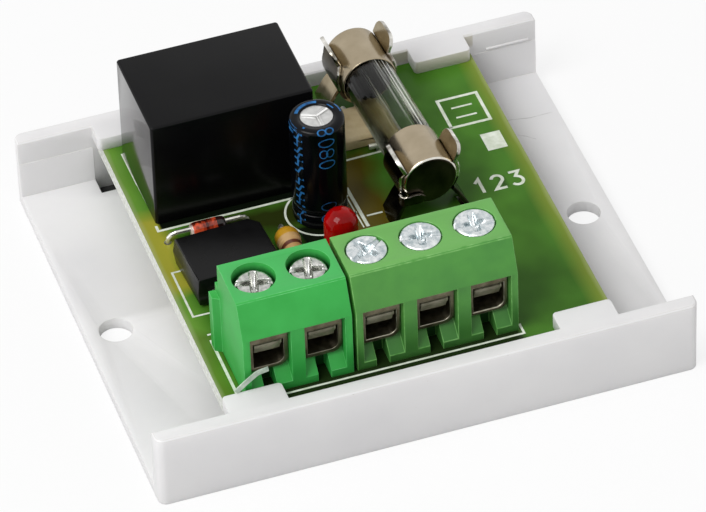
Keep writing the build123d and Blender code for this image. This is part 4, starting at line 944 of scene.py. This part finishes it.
def fuse_clip(name, way):
    """A bent clip, drawn in its own section: u to the side, w above the fuse's axis and d
    inwards from its outer end. Its arm runs on a circle about the fuse to 31 degrees above the
    side, then flares straight out into an ear whose free corners are rounded. Each leg splays
    down to the board and narrows to a pin. One tab turns in before the fuse's end."""
    axis_height = fuse_centre[2]
    low = (span(name)[0] - span(name)[1] / 2)[2] - axis_height
    belly = FUSE_RADIUS + CLIP_STRIP / 2 + 0.02
    angle = np.radians(np.linspace(31, -58, 22))
    arm = belly * np.stack([np.cos(angle), np.sin(angle)], -1)
    ear = np.linspace((2.98, 2.9), arm[0], 12)[:-1]
    half = rounded(np.vstack([ear, arm, [(1.0, -belly), (0, -belly)]]), 0.25, 5)
    length = np.append(0, np.cumsum(np.linalg.norm(np.diff(half, axis=0), axis=1)))
    corner = 0.95
    bite = corner - np.sqrt(np.clip(corner**2 - np.clip(corner - length, 0, corner) ** 2, 0, None))
    near = np.interp(length, [0, 1.5, 2.2, 5.2, 6.2], [0.1, 0.1, 0.5, 0.5, 1.4]) + bite
    far = np.interp(length, [0, 1.5, 2.2, 4, 6], [3.6, 3.7, 4.2, 4.5, 4.55]) - bite
    saddle = np.vstack([half * (-1, 1), half[-2::-1]])
    near, far = (np.append(reach, reach[-2::-1]) for reach in (near, far))
    sets = [bent_strip(saddle, near, far, CLIP_STRIP)]
    level = BOARD_TOP - axis_height
    for side in (-1, 1):
        pin = [(3.5, height) for height in (level + 0.5, level, (level + low) / 2, low)]
        leg = (np.array([(2.2, -1.85), (2.62, -2.45), *pin]) * (side, 1))[::-side]
        start = np.array([0.3, 0.2, 0.1, 0.9, 0.95, 1.1])[::-side]
        stop = np.array([3.0, 3.0, 3.0, 2.1, 2.05, 1.9])[::-side]
        sets.append(bent_strip(leg, start, stop, CLIP_STRIP))
    tab, faces, kind = bent_strip(
        [(-2.86, 0.5), (-2.86, 0.1), (-2.7, -0.14), *((u, -0.2) for u in (-2.35, -1.6, -1.1, -0.72))],
        [-1.9, -1.9, -1.9, -1.9, -1.95, -1.9, -1.65],
        [-0.95, -0.95, -0.94, -0.92, -0.88, -0.98, -1.3],
        0.26,
    )
    sets.append((tab[:, [0, 2, 1]], faces, kind))
    points, faces = joined([(spots, quads) for spots, quads, _ in sets])
    turn = math.radians(FUSE_TURN)
    beside = np.array([math.cos(turn), math.sin(turn), 0])
    along = np.array([-math.sin(turn), math.cos(turn), 0])
    place = fuse_centre - way * points[:, :1] * beside + way * (CLIP_END - points[:, 2:]) * along
    place[:, 2] += points[:, 1]
    piece = surface(f"{name}_bent", place, faces, "module", name)
    kind = np.concatenate([kind for _, _, kind in sets])
    foot = points[[face[0] for face in faces], 1]
    foot[-len(sets[-1][1]) :] = 0
    # Low down, the sheared edges take the outer skin's painted shade; on the rear clip, the outer skin low
    # on the legs takes the plain nickel.
    kind[(kind == 2) & (foot < -0.8)] = 0
    if way > 0:
        kind[(kind == 0) & (foot < -1.9)] = 1
    piece.data.polygons.foreach_set("material_index", kind)
    # The outer skin is painted dark as shade, the inner skin is plain nickel and the edges are painted
    # bright as highlights.
    for material in (clip_dark, clip_nickel, clip_edge):
        dress(piece, material)
    outwards(piece)


fuse_clip("fuse_clip_front", -1)
fuse_clip("fuse_clip_rear", 1)


def bar_tongues(name, ways):
    """The front edge of each contact bar, bent down and inwards: strip 0.14 thick over the bar's
    front face, from under its top to 0.6 below its underside."""
    (_, front, _), (_, _, top) = (np.array(corner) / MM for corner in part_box(name))
    sets = []
    for way in ways:
        x = span(f"clamp_screw_{way}")[0][0]
        bend = ((0.04, 0.03), (0.04, 0.4), (0.3, 1.04))
        path = [(front + inwards, top - drop) for inwards, drop in bend]
        tongue, faces, _ = bent_strip(rounded(path, 0.2), x - 1.27, x + 1.12, 0.14)
        sets.append((tongue[:, [2, 0, 1]], faces))
    points, faces = joined(sets)
    piece = surface(f"{name}_tongues", points, faces, "module")
    outwards(piece)
    dress(piece, bar_strip)


bar_tongues("terminal_2way_plates", (1, 2))
bar_tongues("terminal_3way_plates", (3, 4, 5))

# Resistor: bulbs over its end caps and a narrower middle
reach, bulb, waist = resistor_size[1] / 2, resistor_size[2] / 2, 0.95
profile = [
    (0.25, -reach),
    (bulb - 0.35, -reach),
    (bulb, -reach + 0.45),
    (bulb, -reach + 1.35),
    (waist, -reach + 2.1),
    (waist, reach - 2.1),
    (bulb, reach - 1.35),
    (bulb, reach - 0.45),
    (bulb - 0.35, reach),
    (0.25, reach),
]
profile = [(0, -reach)] + rounded(profile, 0.6, 7).tolist() + [(0, reach)]
points, faces = turned(profile, resistor_centre, "Y")
dress(surface("resistor_lacquered_body", points, faces, "module", "resistor_body"), lacquer)

# Small diode: a glass barrel with fire-polished ends
reach, radius = diode_size[0] / 2, 0.71
profile = [
    (0, -reach),
    (radius - 0.1, -reach),
    (radius, -reach + 0.5),
    (radius, reach - 0.5),
    (radius - 0.1, reach),
    (0, reach),
]
points, faces = turned(rounded(profile, 0.4, 7), diode_centre - (0, 0, 0.18), "X")
dress(surface("diode_glass_barrel", points, faces, "module", "diode_body"), orange_glass)

# The bend of the flat component's front lead
lead_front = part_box("flat_capacitor_leads")[0][1] / MM
profile = rounded([(0, -0.5), (0.27, -0.5), (0.27, 0.5), (0, 0.5)], 0.2)
points, faces = turned(profile, (5.5, lead_front + 0.3, BOARD_TOP + 0.62), "X", turns=40)
dress(surface("flat_capacitor_lead_bend", points, faces, "module"), tinned)

# A sliver of moulding flash that stands before the two-way block
flash = [(-16.75, 7.8), (-15.8, 8.62), (-14.7, 9.44), (-13.7, 9.6)]
leaf, faces, _ = bent_strip(rounded(flash, 0.3), -18.42, -18.3, 0.5)
flash_piece = surface("moulding_flash", leaf[:, [0, 2, 1]], faces, "module")
outwards(flash_piece)
dress(flash_piece, milky)


# Print
def ribbon(points, width, closed=False):
    """Both edges of a band along a polyline, and its faces: each point moves half the width
    along the mitre of the runs before and after it."""
    points = np.asarray(points, float)
    if closed:
        around = np.vstack([points[-1:], points, points[:1]])
    else:
        around = np.vstack([2 * points[:1] - points[1:2], points, 2 * points[-1:] - points[-2:-1]])
    runs = np.diff(around, axis=0)
    runs /= np.linalg.norm(runs, axis=1)[:, None]
    normals = np.stack([-runs[:, 1], runs[:, 0]], -1)
    mitre = normals[:-1] + normals[1:]
    mitre /= (mitre * normals[1:]).sum(1)[:, None]
    edges = np.stack([points + mitre * width / 2, points - mitre * width / 2], 1)
    return edges.reshape(-1, 2), grid_faces(len(points), 2, False, closed)


def printed_line(name, height, material, *strokes):
    """Flat bands on a level face, from (points, width) pairs."""
    flat, faces = joined([ribbon(points, width) for points, width in strokes])
    level = np.full((len(flat), 1), height)
    piece = surface(name, np.hstack([flat, level]), faces, "module", smooth=False)
    dress(piece, material)


def arc(centre, across, along, start, end, steps=24):
    """Points of an ellipse's arc, from its centre and its two half axes."""
    angle = np.radians(np.linspace(start, end, steps))
    return np.asarray(centre) + np.stack([across * np.cos(angle), along * np.sin(angle)], -1)


def board_ink(name, *strokes):
    """White print on the board."""
    printed_line(name, BOARD_TOP + INK_LIFT, white_ink, *strokes)


LINE = 0.2
front_y = -18.5
board_ink(
    "ink_relay_outline",
    ([(-3.5, 5.85), (-16.3, 5.85), (-16.3, 6.6)], 0.25),
    ([(-16.16, 9.6), (-16.2, 12.5)], 0.1),
    ([(-16.2, 12.5), (-16.25, 17.2)], 0.17),
)
board_ink(
    "ink_bridge_outline",
    ([(-14.5, 0.05), (-16.85, 0.05), (-16.85, -6.15), (-14.0, -6.2)], LINE),
    ([(-16.4, -8.87), (-15.8, -8.87)], LINE),
)
board_ink(
    "ink_terminal_outline",
    ([(-16.3, -9.6), (-16.3, front_y)], 0.27),
    ([(-16.2, front_y), (9.95, front_y), (9.95, -17.2)], 0.22),
)
board_ink("ink_capacitor_circle", (arc(can_centre[:2], 3.2, 3.2, 20, 340, 60), LINE))
board_ink(
    "ink_fuse_lines",
    ([(2.7, 9.05), (6.2, 9.15)], 0.24),
    ([(2.0, 1.2), (3.5, 1.2)], LINE),
    ([(1.5, 5.45), (1.66, -0.2)], 0.32),
    ([(1.1, 4.2), (1.25, -0.2)], 0.13),
)


def sleeve_ink(name, ink, *strokes):
    """Print on the sleeve, from (points, width, closed) strokes drawn in arc length round from
    the right-hand side and in run, the length along the sleeve's outside from its low edge up
    the wall, over the shoulder and in across the top. A point goes to the angle arc / radius,
    at the radius and height of that run, lifted by the ink's thickness along the normal."""
    flat, faces = joined([ribbon(*stroke) for stroke in strokes])
    wall = sleeve_outside[1:]
    step = np.gradient(wall, axis=0)
    step /= np.linalg.norm(step, axis=1)[:, None]
    lifted = wall + INK_LIFT * np.stack([step[:, 1], -step[:, 0]], -1)
    run = np.append(0, np.cumsum(np.linalg.norm(np.diff(wall, axis=0), axis=1)))
    radius, height = (np.interp(flat[:, 1], run, lifted[:, i]) for i in (0, 1))
    angle = flat[:, 0] / CAN_RADIUS
    spots = np.stack([radius * np.cos(angle), radius * np.sin(angle), height], -1)
    dress(surface(name, spots + (*can_centre[:2], 0), faces, "module"), ink)


def at_angle(degrees):
    """The arc length round the sleeve at an angle."""
    return CAN_RADIUS * math.radians(degrees)


def oval(angle, run, wide, tall, width):
    """An upright ring about a place on the sleeve."""
    return arc((at_angle(angle), run), wide / 2, tall / 2, 0, 345, 24), width, True


def tick(angle, run, lean):
    """A short slanting bar with hooked ends."""
    x = at_angle(angle)
    bar = [(x - 0.5, run - 0.3), (x - 0.1, run - 0.34), (x + lean, run + 0.3), (x + 0.5, run + 0.32)]
    return bar, 0.2, False


def bow(start, end, run, width):
    """A band round the shoulder or the top, at one run."""
    return [(at_angle(degrees), run) for degrees in np.linspace(start, end, 14)], width, False


# Polarity stripe of ovals at the front, a column of slanting ticks at the left, and arcs on the
# shoulder and the top. The run is a little over the height on the wall above the crimp.
low_run = 0.06 - CAN_LOW
stripe = [oval(272, height + low_run, 1.45, 0.85, 0.13) for height in (16.6, 14.1)]
stripe += [oval(272 + side, 17.85 + low_run, 0.78, 0.6, 0.14) for side in (-9, 9)]
stripe += [oval(272 + side, 15.35 + low_run, 0.72, 0.9, 0.11) for side in (-7, 7)]
faint = [oval(272, height + low_run, 1.4, 0.85, 0.12) for height in (9.1, 7.6)]
sleeve_ink("capacitor_stripe", blue_ink, *stripe)
sleeve_ink("capacitor_stripe_low", faint_ink, *faint)
ticks = np.concatenate([np.arange(13.2, 18.0, 0.78), np.arange(7.0, 12.4, 0.8)]) + low_run
leans = np.tile([0.25, -0.05, 0.15], 6)
sleeve_ink("capacitor_ticks", blue_ink, *[tick(209, run, lean) for run, lean in zip(ticks, leans)])
top_run = CAN_HIGH + low_run - 0.25
sleeve_ink(
    "capacitor_top_arcs",
    blue_ink,
    bow(72, 152, top_run + 0.86, 0.3),
    bow(168, 205, top_run + 0.2, 0.3),
    bow(176, 196, top_run - 0.25, 0.3),
    bow(14, 40, top_run + 0.95, 0.13),
    bow(-4, 26, top_run + 0.5, 0.14),
)


def burr_highlight(degrees, width):
    """A painted highlight along the burr that the tool threw up beside a score line, out from the vent's
    middle.
    """
    angle = math.radians(degrees)
    outward = np.array([math.cos(angle), math.sin(angle)])
    return [can_centre[:2] + reach * outward for reach in (0.02, 0.7, 1.38)], width


# Painted highlights along the three burrs
burr_highlights = burr_highlight(156, 0.24), burr_highlight(27, 0.22), burr_highlight(271, 0.05)
printed_line("vent_score_highlights", CAN_HIGH - 0.015, score_highlight, *burr_highlights)


# Plain print on the free part of the board: a label field, a filled block and three numbers
def numeral(digit, x, y, size):
    """The stroke of 1, 2 or 3, in a box one size high and 0.6 sizes wide."""
    head, bowl = arc((0.3, 0.7), 0.27, 0.28, 165, -25, 14), arc((0.28, 0.3), 0.29, 0.3, 72, -150, 14)
    forms = {
        1: [(0.12, 0.75), (0.36, 1.0), (0.36, 0.0)],
        2: [*head, (0.06, 0.02), (0.6, 0.02)],
        3: [(0.04, 0.95), (0.52, 0.95), (0.3, 0.62), *bowl],
    }
    return np.array(forms[digit]) * size + (x, y), size * 0.16


board_ink("ink_numbers", *[numeral(digit, 10.6 + 1.75 * digit, 0.4, 1.9) for digit in (1, 2, 3)])
board_ink(
    "ink_label_field",
    ([(13.2, 9.9), (13.2, 13.9), (17.0, 13.9), (17.0, 9.9), (13.05, 9.9)], 0.3),
    ([(14.1, 11.1), (16.1, 11.1)], 0.22),
    ([(14.1, 12.5), (16.1, 12.5)], 0.22),
)
board_ink("ink_block", ([(15.3, 6.9), (17.2, 6.9)], 2.4))

# Two hairline scratches in the tray's floor, beside the board
printed_line(
    "floor_scratches",
    FLOOR_TOP + 0.006,
    scratch,
    ([(18.7, 14.75), (20.7, 14.6), (22.4, 14.25), (24.6, 14.3)], 0.07),
    ([(20.5, 12.35), (21.2, 11.9), (21.9, 11.2)], 0.05),
)

# Floor, light and camera
floor = bpy.data.meshes.new("floor")
floor.from_pydata([(-2, -2, 0), (2, -2, 0), (2, 2, 0), (-2, 2, 0)], [], [(0, 1, 2, 3)])
floor_piece = bpy.data.objects.new("floor", floor)
bpy.context.scene.collection.objects.link(floor_piece)
floor_piece.location.z = -0.02 * MM
# The paper glows for the camera, as a lit sweep does. Only under the four slots of the tray,
# which lie alike on either side of both middle lines, it is painted dark as deep shade.
paper, tree, shader, mm = finish("white_studio_paper", "#E6E6E6", 0.9)
wear(tree, shader, mm, 60.0, ("#E4E4E4", "#E8E8E8"))
spot = add(tree, "SeparateXYZ", (mm,)).outputs
beyond = []
for axis, middle, half in (("X", 15.4, 3.6), ("Y", 18.7, 2.8)):
    side = add(tree, "Math", (spot[axis],), operation="ABSOLUTE")
    beyond.append(add(tree, "Math", (past(tree, side, middle, half), 0.0), operation="GREATER_THAN"))
open_floor = add(tree, "Math", beyond, operation="MAXIMUM")
tinted(tree, shader, add(tree, "Math", (1.0, open_floor), operation="SUBTRACT"), "#1C1C1C")
seen = add(tree, "LightPath").outputs
glow = add(tree, "Emission", {"Color": (1, 1, 1, 1), "Strength": 1.0})
lit = add(tree, "MixShader", (all_of(tree, seen["Is Camera Ray"], open_floor, 0.8), shader, glow))
feed(tree, tree.nodes["Material Output"], {"Surface": lit})
floor.materials.append(paper)

world = bpy.data.worlds.new("studio")
bpy.context.scene.world = world
world.use_nodes = True
tree = world.node_tree
# The room is white to the camera and where it is mirrored or seen through glass, and dimmer as
# a light.
seen = add(tree, "LightPath").outputs
white = add(tree, "Math", (seen["Is Camera Ray"], seen["Is Glossy Ray"]), operation="MAXIMUM")
white = add(tree, "Math", (white, seen["Is Transmission Ray"]), operation="MAXIMUM")
strength = add(tree, "MapRange", {"Value": white, "To Min": 0.565, "To Max": 1.0})
feed(tree, tree.nodes["Background"], {"Color": (1, 1, 1, 1), "Strength": strength})


def softbox(name, place, aim, size, watts):
    """A square area light in metres, turned to face aim."""
    lamp = bpy.data.lights.new(name, "AREA")
    lamp.size = size
    lamp.energy = watts
    box = bpy.data.objects.new(name, lamp)
    turn = (Vector(place) - Vector(aim)).to_track_quat("Z", "Y")
    box.matrix_world = Matrix.Translation(place) @ turn.to_matrix().to_4x4()
    bpy.context.scene.collection.objects.link(box)


softbox("key_left", (-0.42, -0.18, 0.62), (0, 0, 0), 0.45, 4.4)

# The photograph's viewpoint: bearing, height, roll and distance of the lens, and its focal
# length and the picture's width in pixels
FOCAL_LENGTH, PICTURE_WIDTH, SENSOR_WIDTH = 6191.68, 706, 36.0
bearing, height, roll = np.radians([-17.3654, 41.9149, -2.2272])
target = np.array([1.146, 3.139, 0.0]) * MM
reach = 0.564788
right = np.array([math.cos(bearing), math.sin(bearing), 0.0])
ahead = np.array([-math.sin(bearing), math.cos(bearing), 0.0])
back = math.sin(height) * np.array([0.0, 0.0, 1.0]) - math.cos(height) * ahead
up = np.cross(back, right)
tilt_right = math.cos(roll) * right + math.sin(roll) * up
tilt_up = -math.sin(roll) * right + math.cos(roll) * up
stand = target + reach * back
lens = bpy.data.cameras.new("camera")
lens.sensor_width = SENSOR_WIDTH
lens.lens = FOCAL_LENGTH / PICTURE_WIDTH * SENSOR_WIDTH
lens.clip_start = 0.01
camera = bpy.data.objects.new("camera", lens)
pose = np.eye(4)
pose[:3, 0], pose[:3, 1], pose[:3, 2], pose[:3, 3] = tilt_right, tilt_up, back, stand
camera.matrix_world = Matrix(pose.tolist())
bpy.context.scene.collection.objects.link(camera)
bpy.context.scene.camera = camera
bpy.context.scene.view_settings.view_transform = "Standard"
